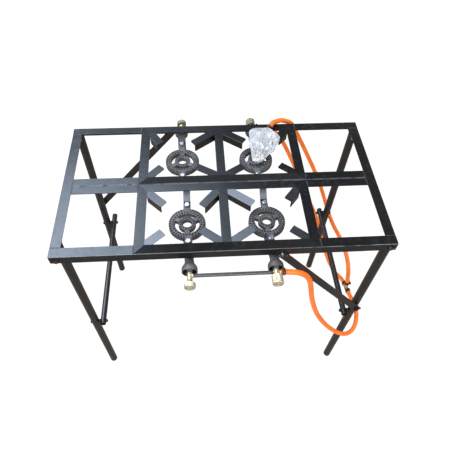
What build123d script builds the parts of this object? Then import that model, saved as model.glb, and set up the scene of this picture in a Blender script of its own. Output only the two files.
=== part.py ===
from build123d import *
import math
import os

# Portable gas stove: a welded angle-iron top with four ring burners between
# two open side bays, two folding leg frames and the gas hoses.
# Millimetres. X runs to the right, Y to the back, Z up from the floor.
# The origin is on the floor under the middle of the top.

# Overall size of the top
width = 900.0
depth = 480.0
height = 820.0

# Angle iron of the frame
angle_leg = 28.0
angle_wall = 3.0
angle_root = 2.5
angle_toe = 1.0
angle_edge = 1.2
small_leg = 25.0

# Burner bay: where the frame is divided
bay_left = -238.5
bay_right = 247.5
mid_seam = -4.0
centre_bar_left = -10.0

# Burners, measured from the plane of the top
burner_drop = 38.0
ring_radius = 51.0
ring_inner = 34.0
core_radius = 24.0
core_hole = 13.0
head_height = 16.0
web_width = 14.0
port_radius = 1.3
port_depth = 5.0
outer_port_circle = 46.5
middle_port_circle = 39.5
core_port_circle = 18.5
outer_port_count = 36
middle_port_count = 30
core_port_count = 16
tube_drop = 50.0
tube_radius = 11.5
tube_bore = 7.5
bell_over = 30.0
bell_length = 27.0
bell_radius = 21.0
bell_wall = 3.0
bridge_width = 13.0
bridge_depth = 5.0
lug_width = 19.0
lug_height = 6.0
lug_tail = 10.0

# Each burner's middle from the middle of its cell, and how far its bell's mouth
# is to the right of it
burner_offsets = {
    "front_left": {"aside": 23.25, "back": -3.0, "mouth": 4.0},
    "front_right": {"aside": -11.25, "back": -3.0, "mouth": 9.0},
    "back_left": {"aside": 11.25, "back": -2.0, "mouth": -3.0},
    "back_right": {"aside": -17.25, "back": -2.0, "mouth": 2.0},
}
near_lug = {"front": 64.0, "back": 70.0}
far_lug = {"front": 61.0, "back": 67.0}

# Brackets and their bolts
strip_width = 20.0
strip_thick = 3.0
strip_tail = 10.0
strip_bend = 17.0
strip_root_drop = 13.0
bolt_radius = 4.0
bolt_gap = 0.2
bolt_flats = 13.0
bolt_head = 5.0
nut_height = 5.0
near_bolt_depth = 3.8

# Pan supports: how far each arm reaches from its cell's corner
support_reach = {
    "front_left": {"bl": (47.0, 48.0), "br": (48.0, 57.0), "fl": (46.0, 39.0), "fr": (52.0, 42.0)},
    "front_right": {"bl": (68.0, 54.0), "br": (37.0, 45.0), "fl": (60.0, 42.0), "fr": (42.0, 36.0)},
    "back_left": {"bl": (32.0, 49.0), "br": (69.0, 51.0), "fl": (38.0, 40.0), "fr": (60.0, 38.0)},
    "back_right": {"bl": (65.0, 48.0), "br": (36.0, 36.0), "fl": (52.0, 34.0), "fr": (42.0, 34.0)},
}
support_round = 4.0

# Valves, jets and knobs
jet_radius = 5.0
jet_bore = 0.8
jet_nose = 3.0
jet_inside = 14.0
jet_gap = 0.3
valve_gap = 2.0
valve_length = 20.0
valve_radius = 7.0
port_inset = 8.0
port_reach = 9.0
port_boss = 6.0
stem_radius = 3.0
stem_inside = 7.0
stem_gap = 0.08
gland_flats = 13.0
gland_hexagon = 5.0
gland_length = 10.7
gland_radius = 6.0
knob_radius = 15.0
knob_head = 13.0
knob_face = 4.0
knob_chamfer = 1.2
knob_ribs = 24
rib_depth = 0.8
rib_round = 0.9
skirt_length = {"front_left": 0.0, "front_right": 13.0, "back_left": 0.0, "back_right": 13.0}
skirt_wall = 3.5
manifold_radius = 5.0
manifold_wall = 1.0
barb_radius = 6.5
barb_length = 3.0

# Legs
leg_radius = 12.7
leg_wall = 1.5
hinge_room = 13.5
nest_offset = 13.0
stretcher_radius = 9.5
stretcher_wall = 1.2
stretcher_drop = {"left": 470.0, "right": 420.0}
stretcher_over = {"front_left": 12.0, "back_left": 38.0, "front_right": 16.0, "back_right": 16.0}
spacer_gap = 0.3
spacer_radius = 7.0
washer_thick = 0.5
cross_bolt_radius = 3.0
cross_head_radius = 6.5
cross_head_height = 3.3
cross_spacer = 3.8
cross_nut_flats = 10.0

# Braces
brace_width = 24.0
brace_thick = 3.0
brace_pivot_x = 146.0
brace_pivot_drop = 17.5
brace_stud_drop = 370.0
brace_line_drop = 4.5
brace_tail = 14.0
brace_corner = 2.0
brace_gap = 0.3
wing_hub = 6.5
wing_reach = 13.0
wing_height = 13.0
wing_thick = 2.5

# Hoses
hose_radius = 7.5
clamp_gap = 0.1
clamp_band = 1.0
clamp_width = 9.0
clamp_inset = 1.5
clamp_screw = 3.0
tee_centre = (470.0, -90.0, height - 512.0)
tee_run = (0.0, 0.93, -0.368)
tee_branch = (0.0, 0.368, 0.93)
tee_reach = 16.0
tee_radius = 6.0
tee_core = 8.0

# Regulator and its bag; the regulator lies over the back right burner
regulator_aside = 23.0
regulator_back = 32.0
regulator_rise = 3.0
bag_tail = (-26.0, -59.0, -24.0)
regulator_axis = (-0.40, -0.89, -0.20)
regulator_radius = 32.0
regulator_half = 13.0
regulator_reach = 55.0
inlet_radius = 8.0
inlet_start = 30.0
inlet_end = 46.0
spigot_radius = 5.0
spigot_end = 58.0
hand_nut_length = 9.0
hand_nut_hub = 8.0
hand_nut_wing = 12.0
bag_film = 0.6


def vec(p):
    return Vector(*p)


def rod(start, end, radius):
    """A round bar between two points."""
    a = vec(start)
    b = vec(end)
    run = b - a
    return extrude(Plane(origin=a, z_dir=run.normalized()) * Circle(radius), amount=run.length)


def pipe(start, end, radius, bore):
    return rod(start, end, radius) - rod(start, end, bore)


def hexagon(start, direction, flats, length):
    """A hexagonal prism from a point along a direction."""
    plane = Plane(origin=vec(start), z_dir=vec(direction))
    shape = RegularPolygon(radius=flats / 2, side_count=6, major_radius=False)
    return extrude(plane * shape, amount=length)


def block(x0, x1, y0, y1, z0, z1):
    """A box from its lowest to its highest corner."""
    size = (abs(x1 - x0), abs(y1 - y0), abs(z1 - z0))
    return Pos((x0 + x1) / 2, (y0 + y1) / 2, (z0 + z1) / 2) * Box(*size)


def angle_bar(start, end, inward, leg=angle_leg):
    """Angle iron along the outer top edge from start to end.

    One flange lies flat under that edge and reaches inward, the other hangs
    down from it.
    """
    a = vec(start)
    b = vec(end)
    side = vec(inward)
    run = side.cross(Vector(0, 0, 1))
    if (b - a).dot(run) < 0:
        a, b = b, a
    corner = [
        (0, 0), (leg, 0), (leg, -angle_wall), (angle_wall, -angle_wall),
        (angle_wall, -leg), (0, -leg),
    ]
    profile = make_face(Polyline(*corner, close=True))
    places = profile.vertices()

    def at(x, y):
        return [v for v in places if abs(v.X - x) < 0.01 and abs(v.Y - y) < 0.01]

    profile = fillet(at(angle_wall, -angle_wall), angle_root)
    places = profile.vertices()
    profile = fillet(at(leg, -angle_wall) + at(angle_wall, -leg), angle_toe)
    places = profile.vertices()
    profile = fillet(at(0, 0), angle_edge)
    plane = Plane(origin=a, x_dir=side, z_dir=run)
    return extrude(plane * profile, amount=(b - a).length)


def prism(points, bottom, top):
    """A vertical prism over a plan of points."""
    face = make_face(Polyline(*points, close=True))
    return Pos(0, 0, bottom) * extrude(face, amount=top - bottom)


def mitre(side, x0, x1, y0, y1):
    """The plan of one mitred side of a rectangular frame."""
    m = angle_leg + 2 * angle_wall
    plans = {
        "front": [(x0, y0), (x1, y0), (x1 - m, y0 + m), (x0 + m, y0 + m)],
        "back": [(x0, y1), (x1, y1), (x1 - m, y1 - m), (x0 + m, y1 - m)],
        "left": [(x0, y0), (x0, y1), (x0 + m, y1 - m), (x0 + m, y0 + m)],
        "right": [(x1, y0), (x1, y1), (x1 - m, y1 - m), (x1 - m, y0 + m)],
    }
    return prism(plans[side], height - angle_leg, height)


def mitred_bar(side, x0, x1, y0, y1):
    lines = {
        "front": ((x0, y0, height), (x1, y0, height), (0, 1, 0)),
        "back": ((x0, y1, height), (x1, y1, height), (0, -1, 0)),
        "left": ((x0, y0, height), (x0, y1, height), (1, 0, 0)),
        "right": ((x1, y0, height), (x1, y1, height), (-1, 0, 0)),
    }
    return angle_bar(*lines[side]) & mitre(side, x0, x1, y0, y1)


def coped(bar, axis, low, high, low_rail, high_rail):
    """Trim a bar's top flange back to the flanges of the rails that it meets."""
    cope = angle_leg + 1.0
    top = height + 1.0
    under = height - angle_wall
    far = width
    for rail, edge, sign in ((low_rail, low, 1), (high_rail, high, -1)):
        if not rail:
            continue
        a = edge - sign * cope
        b = edge
        if axis == "x":
            bar = bar - block(a, b, -far, far, under, top)
        else:
            bar = bar - block(-far, far, a, b, under, top)
    return bar


# Where the frame's members lie
left = -width / 2
right = width / 2
front = -depth / 2
back = depth / 2
rail_gap = angle_wall + angle_root
cell_front = (front + angle_leg, mid_seam - angle_leg)
cell_back = (mid_seam + angle_leg, back - angle_leg)
cell_left = (bay_left + angle_leg, centre_bar_left)
cell_right = (centre_bar_left + small_leg, bay_right - angle_leg)
cells = {
    "front_left": (*cell_left, *cell_front),
    "front_right": (*cell_right, *cell_front),
    "back_left": (*cell_left, *cell_back),
    "back_right": (*cell_right, *cell_back),
}

# Where the burners and the gas line lie
burner_places = {}
for name, offset in burner_offsets.items():
    by_left = name.endswith("left")
    x_low, x_high = (bay_left, centre_bar_left) if by_left else (centre_bar_left + small_leg, bay_right)
    y_low, y_high = (front, mid_seam) if name.startswith("front") else (mid_seam, back)
    middle_x = (x_low + x_high) / 2 + offset["aside"]
    burner_places[name] = {
        "x": middle_x,
        "y": (y_low + y_high) / 2 + offset["back"],
        "mouth_x": middle_x + offset["mouth"],
        "near_lug": near_lug[name.split("_")[0]],
        "far_lug": far_lug[name.split("_")[0]],
    }
bell_mouth = back + bell_over
bell_start = bell_mouth - bell_length
jet_tip = bell_mouth - jet_inside
valve_start = bell_mouth + valve_gap
valve_end = valve_start + valve_length
port_line = valve_start + port_inset
stem_start = valve_end - stem_inside
knob_start = valve_end + gland_length + spacer_gap
knob_end = knob_start + knob_head
stem_end = knob_end - knob_face

# Hinges, legs and braces
hinge_x = width / 2 - angle_wall - hinge_room
hinge_z = height - angle_wall - hinge_room
leg_y = {
    "front_left": front + angle_wall + leg_radius + spacer_gap + washer_thick + 2 * nest_offset,
    "back_left": back - angle_wall - leg_radius - spacer_gap - washer_thick,
    "front_right": front + angle_wall + leg_radius + spacer_gap + washer_thick,
    "back_right": back - angle_wall - leg_radius - spacer_gap - washer_thick - 2 * nest_offset,
}
brace_pivot_z = height - brace_pivot_drop
brace_stud_z = height - brace_stud_drop
stud_radius = bolt_radius

parts = {}


def side_sign(name):
    return -1 if "front" in name else 1


def hand_sign(name):
    return -1 if "left" in name else 1


# Top frame
def frame_members():
    bay = (bay_left, bay_right)
    parts["front_rail_centre"] = mitred_bar("front", *bay, front, mid_seam)
    parts["back_rail_centre"] = mitred_bar("back", *bay, mid_seam, back)
    parts["mid_rails_centre"] = [
        mitred_bar("back", *bay, front, mid_seam),
        mitred_bar("front", *bay, mid_seam, back),
    ]
    for hand in ("left", "right"):
        parts["cross_bars_" + hand] = [
            mitred_bar(hand, *bay, front, mid_seam),
            mitred_bar(hand, *bay, mid_seam, back),
        ]
    centre_bars = []
    spans = ((front, mid_seam, *cell_front), (mid_seam, back, *cell_back))
    for low, high, low_edge, high_edge in spans:
        start = (centre_bar_left, low + rail_gap, height)
        end = (centre_bar_left, high - rail_gap, height)
        bar = angle_bar(start, end, (1, 0, 0), small_leg)
        centre_bars.append(coped(bar, "y", low_edge, high_edge, True, True))
    parts["cross_bars_centre"] = centre_bars

    for hand, end_x, bay_x in (("left", left, bay_left), ("right", right, bay_right)):
        sign = hand_sign(hand)
        inner = end_x - sign * angle_leg
        for name, y, inward in (("front", front, 1), ("back", back, -1)):
            rail = angle_bar((end_x, y, height), (bay_x, y, height), (0, inward, 0))
            parts[name + "_rail_" + hand] = rail
        pair = []
        for inward in (-1, 1):
            start = (end_x - sign * rail_gap, mid_seam, height)
            bar = angle_bar(start, (bay_x, mid_seam, height), (0, inward, 0))
            low, high = sorted((inner, bay_x))
            pair.append(coped(bar, "x", low, high, hand == "left", hand == "right"))
        parts["mid_rails_" + hand] = pair
        start = (end_x, front + rail_gap, height)
        end = (end_x, back - rail_gap, height)
        bar = angle_bar(start, end, (-sign, 0, 0))
        low, high = front + angle_leg, back - angle_leg
        parts["end_rail_" + hand] = coped(bar, "y", low, high, True, True)

    # Bolt holes for the hinges and the braces
    for name in leg_y:
        side, hand = name.split("_")
        y = side_sign(name) * depth / 2
        x = hand_sign(name) * hinge_x
        hole = rod((x, y - angle_leg, hinge_z), (x, y + angle_leg, hinge_z), bolt_radius + bolt_gap)
        parts[side + "_rail_" + hand] = parts[side + "_rail_" + hand] - hole
    for side in ("front", "back"):
        sign = side_sign(side)
        x = -sign * brace_pivot_x
        y = sign * depth / 2
        hole = rod((x, y - angle_leg, brace_pivot_z), (x, y + angle_leg, brace_pivot_z),
                   bolt_radius + bolt_gap)
        parts[side + "_rail_centre"] = parts[side + "_rail_centre"] - hole


# Pan supports
def support_arm(cell, corner, reach):
    x0, x1, y0, y1 = cell
    sx = 1 if corner[1] == "l" else -1
    sy = 1 if corner[0] == "f" else -1
    start = Vector(x0 if sx > 0 else x1, y0 if sy > 0 else y1, height)
    run = Vector(sx * reach[0], sy * reach[1], 0)
    along = run.normalized()
    end = start + run
    # The hanging flange is on the edge that lies further back on the front
    # arms and further forward on the back arms.
    across = Vector(-along.Y, along.X, 0)
    turned = across.Y * sy < 0
    if turned:
        across = across * -1
    edge = across * (small_leg / 2)
    bar = angle_bar(start - along * small_leg + edge, end + edge, tuple(across * -1), small_leg)
    length = run.length + small_leg
    plan = Pos(-length / 2, 0) * Rectangle(length, small_leg)
    tips = plan.vertices().sort_by(Axis.X)[-2:].sort_by(Axis.Y)
    plan = fillet(tips[1 if turned else 0], support_round)
    below = Plane(origin=end - Vector(0, 0, small_leg), x_dir=along, z_dir=(0, 0, 1))
    bar = bar & extrude(below * plan, amount=small_leg)
    return bar & block(x0, x1, y0, y1, height - small_leg, height)


def pan_supports():
    for name, cell in cells.items():
        reaches = support_reach[name]
        parts["pan_supports_" + name] = [support_arm(cell, c, reaches[c]) for c in reaches]


# Burners
def port_ring(circle, count):
    """Blind ports round a circle, left out where the lugs are."""
    holes = []
    for i in range(count):
        turn = 2 * math.pi * (i + 0.5) / count
        x = circle * math.cos(turn)
        y = circle * math.sin(turn)
        if circle < core_radius or abs(x) > lug_width / 2 + 2 * port_radius:
            holes.append(rod((x, y, -port_depth), (x, y, 1), port_radius))
    return holes


def burner_head():
    """The port rings and webs, centred on the origin with the top at zero."""
    base = -head_height
    ring = pipe((0, 0, base), (0, 0, 0), ring_radius, ring_inner)
    core = pipe((0, 0, base), (0, 0, 0), core_radius, core_hole)
    head = ring + core
    for turn in (-90, 30, 150):
        web = Rot(0, 0, turn) * block(core_radius - 3, ring_inner + 3, -web_width / 2,
                                      web_width / 2, base, -2)
        head = head + web
    holes = port_ring(outer_port_circle, outer_port_count)
    holes += port_ring(middle_port_circle, middle_port_count)
    holes += port_ring(core_port_circle, core_port_count)
    return head - holes


def burner(place, head):
    """One burner, built with its mixing tube towards the front, then turned."""
    back_row = place["y"] > 0
    reach = bell_mouth - abs(place["y"])
    shift = place["mouth_x"] - place["x"]
    if back_row:
        shift = -shift
    axis_z = burner_drop - tube_drop
    bell_y = -(bell_start - abs(place["y"]))
    mouth_y = -reach
    tube_start = (0, -(ring_radius + ring_inner) / 2, axis_z)
    tube_end = (shift, bell_y, axis_z)
    body = head + rod(tube_start, tube_end, tube_radius)
    flare = bell_mouth - bell_start
    outline = [
        (0, 0), (tube_radius + 1.5, 0), (tube_radius + 5.0, flare * 0.14), (bell_radius - 1.2, flare * 0.42),
        (bell_radius, flare * 0.7), (bell_radius, flare), (0, flare),
    ]
    inside = [
        (0, -1), (tube_bore + 1.2, -1), (tube_bore + 1.2, flare * 0.1),
        (bell_radius - bell_wall - 1.5, flare * 0.5),
        (bell_radius - bell_wall, flare * 0.75), (bell_radius - bell_wall, flare + 1), (0, flare + 1),
    ]
    bell_plane = Plane(origin=(shift, bell_y, axis_z), x_dir=(1, 0, 0), z_dir=(0, 0, 1))
    # The outlines are (radius, distance to the front), revolved about the tube's line.
    turned = []
    for points in (outline, inside):
        face = make_face(Polyline(*[(r, -d) for r, d in points], close=True))
        turned.append(revolve(bell_plane * face, Axis((shift, bell_y, axis_z), (0, 1, 0))))
    bell, hollow = turned
    body = body + bell

    # Lugs: one over the mixing tube, one on the far side
    near = place["near_lug"]
    far = place["far_lug"]
    slope = shift / reach
    near_x = slope * near
    for x, y, sign in ((near_x, -near, -1), (0, far, 1)):
        inner = sign * (ring_inner + 5)
        lug = block(x - lug_width / 2, x + lug_width / 2, inner, y, -lug_height, 0)
        lug = lug + rod((x, y, -lug_height), (x, y, 0), lug_width / 2)
        body = body + lug
    body = body - rod((0, -ring_inner - 4, axis_z), tube_end, tube_bore) - hollow
    body = body - rod((0, far, -lug_height - 1), (0, far, 1), bolt_radius + bolt_gap)
    body = body - rod((near_x, -near, -near_bolt_depth - 0.2), (near_x, -near, 1), bolt_radius + 0.05)

    # The bridge across the mouth carries the jet
    bridge = block(shift - bridge_width / 2, shift + bridge_width / 2, mouth_y, mouth_y + bridge_depth,
                   axis_z - bell_radius + 0.5, axis_z + bell_radius - 0.5)
    boss = rod((shift, mouth_y, axis_z), (shift, mouth_y + bridge_depth, axis_z), jet_radius + 4)
    jet_hole = rod((shift, mouth_y - 1, axis_z), (shift, mouth_y + bridge_depth + 1, axis_z),
                   jet_radius + jet_gap)
    body = body + ((bridge + boss) - jet_hole)
    if back_row:
        body = Rot(0, 0, 180) * body
    return Pos(place["x"], place["y"], height - burner_drop) * body


def lug_points(place):
    """The two bolt places of a burner, near the bell and far from it."""
    sign = -1 if place["y"] < 0 else 1
    reach = bell_mouth - abs(place["y"])
    slope = (place["mouth_x"] - place["x"]) / reach
    near = place["near_lug"]
    near_x = place["x"] + slope * near
    far_y = place["y"] - sign * place["far_lug"]
    return (near_x, place["y"] + sign * near, sign), (place["x"], far_y, -sign)


def strip(points, thick):
    """The outline of a bent strip round its middle line, with mitred bends."""
    count = len(points)
    over = []
    under = []
    for i in range(count):
        a = points[max(i - 1, 0)]
        b = points[min(i + 1, count - 1)]
        p = points[i]
        into = Vector(p[0] - a[0], p[1] - a[1]) if i else Vector(b[0] - p[0], b[1] - p[1])
        away = Vector(b[0] - p[0], b[1] - p[1]) if i < count - 1 else into
        first = Vector(-into.Y, into.X).normalized()
        second = Vector(-away.Y, away.X).normalized()
        half = (first + second).normalized()
        reach = thick / 2 / half.dot(first)
        over.append((p[0] + half.X * reach, p[1] + half.Y * reach))
        under.append((p[0] - half.X * reach, p[1] - half.Y * reach))
    return make_face(Polyline(*over, *reversed(under), close=True))


def bracket(x, y, toward, rail_face):
    """A strip from a bolt place to the inner face of a rail's hanging flange."""
    level = height - burner_drop + strip_thick / 2
    root = height - strip_root_drop
    bend = y + toward * strip_bend
    tail = y - toward * strip_tail
    past = rail_face + toward * strip_thick * 2
    slope = (root - level) / (rail_face - bend)
    points = [(tail, level), (bend, level), (past, level + slope * (past - bend))]
    face = strip(points, strip_thick)
    plane = Plane(origin=(x - strip_width / 2, 0, 0), x_dir=(0, 1, 0), z_dir=(1, 0, 0))
    shape = extrude(plane * face, amount=strip_width)
    low, high = sorted((tail - toward * 5, rail_face))
    shape = shape & block(x - strip_width, x + strip_width, low, high, level - 40, height - angle_wall)
    hole = rod((x, y, level - strip_thick), (x, y, level + strip_thick), bolt_radius + bolt_gap)
    return shape - hole


def burner_set():
    head = burner_head()
    strips = []
    bolts = []
    nuts = []
    top = height - burner_drop
    for name, place in burner_places.items():
        parts["burner_" + name] = burner(place, head)
        row = side_sign(name)
        near, far = lug_points(place)
        outer_face = row * (depth / 2 - angle_wall)
        mid_face = mid_seam + row * angle_wall
        for (x, y, toward), face, through in ((near, outer_face, False), (far, mid_face, True)):
            strips.append(bracket(x, y, toward, face))
            depth_below = lug_height + nut_height + 1.5 if through else near_bolt_depth
            head_base = (x, y, top + strip_thick)
            bolt = hexagon(head_base, (0, 0, 1), bolt_flats, bolt_head)
            bolt = bolt + rod((x, y, top - depth_below), head_base, bolt_radius)
            bolts.append(bolt)
            if through:
                nut_top = top - lug_height
                nut = hexagon((x, y, nut_top - nut_height), (0, 0, 1), bolt_flats, nut_height)
                nuts.append(nut - rod((x, y, nut_top - 20), (x, y, nut_top + 1), bolt_radius))
    parts["burner_brackets"] = strips
    parts["bracket_bolts"] = bolts
    parts["frame_nuts"] = nuts


# Gas train
def gas_train():
    z = height - tube_drop
    jets = []
    bodies = []
    glands = []
    for name, place in burner_places.items():
        s = side_sign(name)
        x = place["mouth_x"]

        def on_line(y):
            return (x, s * y, z)

        jet = rod(on_line(jet_tip + jet_nose), on_line(valve_start), jet_radius)
        jet = jet + rod(on_line(jet_tip), on_line(jet_tip + jet_nose), jet_radius * 0.55)
        jets.append(jet - rod(on_line(jet_tip - 1), on_line(valve_start + 1), jet_bore))

        body = rod(on_line(valve_start), on_line(valve_end), valve_radius)
        ports = (-1, 1) if "right" in name else (1,)
        for way in ports:
            end = (x + way * port_reach, s * port_line, z)
            body = body + rod((x, s * port_line, z), end, port_boss)
        body = body - rod(on_line(stem_start - 0.5), on_line(valve_end + 1), stem_radius + stem_gap)
        bodies.append(body)

        skirt = skirt_length[name]
        gland_end = valve_end + gland_length
        gland = hexagon(on_line(valve_end), (0, s, 0), gland_flats, gland_hexagon)
        gland = gland + rod(on_line(valve_end + gland_hexagon), on_line(gland_end), gland_radius)
        glands.append(gland - rod(on_line(valve_end - 1), on_line(knob_end), stem_radius + stem_gap))

        parts["valve_stem_" + name] = rod(on_line(stem_start), on_line(stem_end), stem_radius)

        knob = rod(on_line(knob_start), on_line(knob_end), knob_radius)
        knob = chamfer(knob.faces().sort_by(Axis.Y)[-1 if s > 0 else 0].edges(), knob_chamfer)
        if skirt:
            knob = knob + pipe(on_line(knob_start - skirt), on_line(knob_start), knob_radius,
                               knob_radius - skirt_wall)
        grooves = []
        for i in range(knob_ribs):
            turn = 2 * math.pi * i / knob_ribs
            gx = x + (knob_radius + rib_round - rib_depth) * math.cos(turn)
            gz = z + (knob_radius + rib_round - rib_depth) * math.sin(turn)
            start = (gx, s * (knob_start - skirt - 1), gz)
            grooves.append(rod(start, (gx, s * (knob_end + 1), gz), rib_round))
        knob = knob - grooves
        knob = knob - rod(on_line(knob_start - 1), on_line(stem_end), stem_radius)
        parts["knob_" + name] = knob
    parts["gas_jets"] = jets
    parts["valve_bodies"] = bodies
    parts["packing_nuts"] = glands

    barbs = []
    for side in ("front", "back"):
        s = side_sign(side)
        start = burner_places[side + "_left"]["mouth_x"] + port_reach
        valve_x = burner_places[side + "_right"]["mouth_x"]
        end = valve_x - port_reach
        y = s * port_line
        parts["manifold_" + side] = pipe((start, y, z), (end, y, z), manifold_radius,
                                         manifold_radius - manifold_wall)
        barb_x = valve_x + port_reach
        barbs.append(rod((barb_x, y, z), (barb_x + barb_length, y, z), barb_radius))
    parts["hose_barbs"] = barbs


# Legs
def legs():
    bolts = []
    spacers = []
    nuts = parts["frame_nuts"]
    shank = bolt_radius
    hinge_bolt_gap = 0.1
    for name, y in leg_y.items():
        hand = hand_sign(name)
        s = side_sign(name)
        x = hand * hinge_x
        tube = rod((x, y, 0), (x, y, hinge_z), leg_radius)
        rounded = rod((x, y, hinge_z), (x, y, hinge_z + leg_radius), leg_radius)
        rounded = rounded & rod((x, y - leg_radius, hinge_z), (x, y + leg_radius, hinge_z), leg_radius)
        tube = (tube + rounded) - rod((x, y, -1), (x, y, height), leg_radius - leg_wall)
        hinge_hole = rod((x, y - 2 * leg_radius, hinge_z), (x, y + 2 * leg_radius, hinge_z),
                         shank + hinge_bolt_gap)
        tube = tube - hinge_hole
        drop = stretcher_drop["left" if hand < 0 else "right"]
        bolt_z = height - drop
        tube = tube - rod((x - 20, y, bolt_z), (x + 20, y, bolt_z), cross_bolt_radius + bolt_gap)
        if name in ("front_right", "back_left"):
            hole = rod((x, y - 20, brace_stud_z), (x, y + 20, brace_stud_z), stud_radius + bolt_gap)
            tube = tube - hole
        parts["leg_" + name] = tube

        # Hinge bolt, spacer and nut
        outside = s * depth / 2
        face = s * (depth / 2 - angle_wall)
        inner_side = y - s * leg_radius
        nut_face = inner_side - s * spacer_gap
        bolt_end = nut_face - s * (nut_height + 2)
        bolt = hexagon((x, outside, hinge_z), (0, s, 0), bolt_flats, bolt_head)
        bolt = bolt + rod((x, bolt_end, hinge_z), (x, outside, hinge_z), shank)
        bolts.append(bolt)
        spacer_end = y + s * (leg_radius + spacer_gap)
        spacers.append(pipe((x, face, hinge_z), (x, spacer_end, hinge_z), spacer_radius,
                            shank + bolt_gap))
        nut = hexagon((x, nut_face, hinge_z), (0, -s, 0), bolt_flats, nut_height)
        nuts.append(nut - rod((x, nut_face + s, hinge_z), (x, bolt_end, hinge_z), shank))

    # Brace pivot bolts in the centre rails
    wings = []
    for side in ("front", "back"):
        s = side_sign(side)
        x = -s * brace_pivot_x
        z = brace_pivot_z
        inside = s * (depth / 2 - angle_wall)
        outer = s * (depth / 2 + brace_gap + brace_thick + brace_gap)
        bolt = hexagon((x, inside, z), (0, -s, 0), bolt_flats, bolt_head)
        bolt = bolt + rod((x, inside, z), (x, outer + s * (wing_height - 2), z), shank)
        bolts.append(bolt)
        hub = rod((x, outer, z), (x, outer + s * 7, z), wing_hub)
        lobe = block(x - wing_reach, x + wing_reach, outer + s * 3, outer + s * wing_height,
                     z - wing_thick / 2, z + wing_thick / 2)
        notch = block(x - wing_hub + 1, x + wing_hub - 1, outer + s * 7, outer + s * (wing_height + 1),
                      z - wing_hub, z + wing_hub)
        wing = (hub + (lobe - notch)) - rod((x, outer - s, z), (x, outer + s * 20, z), shank)
        wings.append(wing)
    parts["frame_bolts"] = bolts
    parts["leg_spacers"] = spacers
    parts["wing_nuts"] = wings


def stretchers():
    for hand in ("left", "right"):
        sign = hand_sign(hand)
        z = height - stretcher_drop[hand]
        x = sign * (hinge_x - leg_radius - cross_spacer - stretcher_radius)
        y0 = leg_y["front_" + hand] - stretcher_over["front_" + hand]
        y1 = leg_y["back_" + hand] + stretcher_over["back_" + hand]
        tube = pipe((x, y0, z), (x, y1, z), stretcher_radius, stretcher_radius - stretcher_wall)
        fasteners = []
        for side in ("front", "back"):
            y = leg_y[side + "_" + hand]
            tube = tube - rod((x - 20, y, z), (x + 20, y, z), cross_bolt_radius + bolt_gap)
            outer = sign * (hinge_x + leg_radius)
            inner = x - sign * stretcher_radius
            nut_end = inner - sign * 4.0
            bolt = rod((outer, y, z), (outer + sign * cross_head_height, y, z), cross_head_radius)
            bolt = chamfer(bolt.faces().sort_by(Axis.X)[-1 if sign > 0 else 0].edges(), 1.5)
            bolt = bolt + rod((outer, y, z), (nut_end - sign * 2, y, z), cross_bolt_radius)
            fasteners.append(bolt)
            nut = hexagon((inner, y, z), (-sign, 0, 0), cross_nut_flats, 4.0)
            fasteners.append(nut - rod((inner + sign, y, z), (nut_end - sign, y, z), cross_bolt_radius))
            gap_start = sign * (hinge_x - leg_radius)
            gap_end = gap_start - sign * cross_spacer
            collar = pipe((gap_start, y, z), (gap_end, y, z), spacer_radius,
                          cross_bolt_radius + bolt_gap)
            fasteners.append(collar)
        # The brace's stud through one leg of each pair, flush with its inner side
        side = "front" if hand == "right" else "back"
        s = side_sign(side)
        y = leg_y[side + "_" + hand]
        stud_z = brace_stud_z
        leg_face = y + s * leg_radius
        plate = s * (depth / 2 + brace_gap)
        head = plate + s * (brace_thick + brace_gap)
        lx = sign * hinge_x
        stud = rod((lx, y - s * leg_radius, stud_z), (lx, head, stud_z), stud_radius)
        stud = stud + hexagon((lx, head, stud_z), (0, s, 0), bolt_flats, bolt_head)
        stud = stud + rod((lx, leg_face, stud_z), (lx, plate - s * brace_gap, stud_z), spacer_radius)
        fasteners.append(stud)
        parts["stretcher_" + hand] = tube
        parts["leg_bolts_" + hand] = fasteners


def braces():
    """Each flat bar's middle line ends on the leg's stud and passes a little under its pivot."""
    for side, hand in (("front", "right"), ("back", "left")):
        s = side_sign(side)
        x0 = -s * brace_pivot_x
        x1 = hand_sign(hand) * hinge_x
        run = Vector(x1 - x0, 0, brace_stud_z - brace_pivot_z)
        length = math.sqrt(run.length ** 2 - brace_line_drop ** 2)
        tilt = math.degrees(math.atan2(brace_line_drop, length))
        inner = s * (depth / 2 + brace_gap)
        plane = Plane(origin=(x0, inner, brace_pivot_z), x_dir=run.normalized(), z_dir=(0, s, 0))
        tail = brace_width / 2
        shape = Pos((length + brace_tail - tail) / 2, 0) * Rectangle(length + brace_tail + tail, brace_width)
        shape = fillet(shape.vertices().sort_by(Axis.X)[:2], brace_corner)
        shape = fillet(shape.vertices().sort_by(Axis.X)[-2:], brace_corner)
        shape = shape - Pos(0, brace_line_drop) * Circle(bolt_radius + 0.1)
        shape = shape - Pos(length, 0) * Circle(stud_radius + brace_gap)
        shape = Rot(0, 0, tilt) * Pos(0, -brace_line_drop) * shape
        parts["brace_" + side] = extrude(plane * shape, amount=brace_thick)


# Hoses
def turn_radii(points):
    """The largest arcs that each corner's two runs allow."""
    radii = []
    for a, b, c in zip(points, points[1:], points[2:]):
        into = vec(b) - vec(a)
        away = vec(c) - vec(b)
        turn = math.radians(into.get_angle(away))
        shorter = min(into.length, away.length)
        radii.append(0.45 * shorter / math.tan(turn / 2))
    return radii


def hose(name, points):
    radii = turn_radii(points)
    path = FilletPolyline(*points, radius=radii)
    first = (vec(points[1]) - vec(points[0])).normalized()
    section = Plane(origin=vec(points[0]), z_dir=first) * Circle(hose_radius)
    solid = sweep(section, path=path)
    expected = math.pi * hose_radius ** 2 * path.length
    print(name, "length", round(path.length, 1), "radii", [round(r) for r in radii],
          "volume ratio", round(solid.volume / expected, 4))
    return solid


def along(point, direction, distance):
    return tuple(vec(point) + vec(direction).normalized() * distance)


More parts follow.
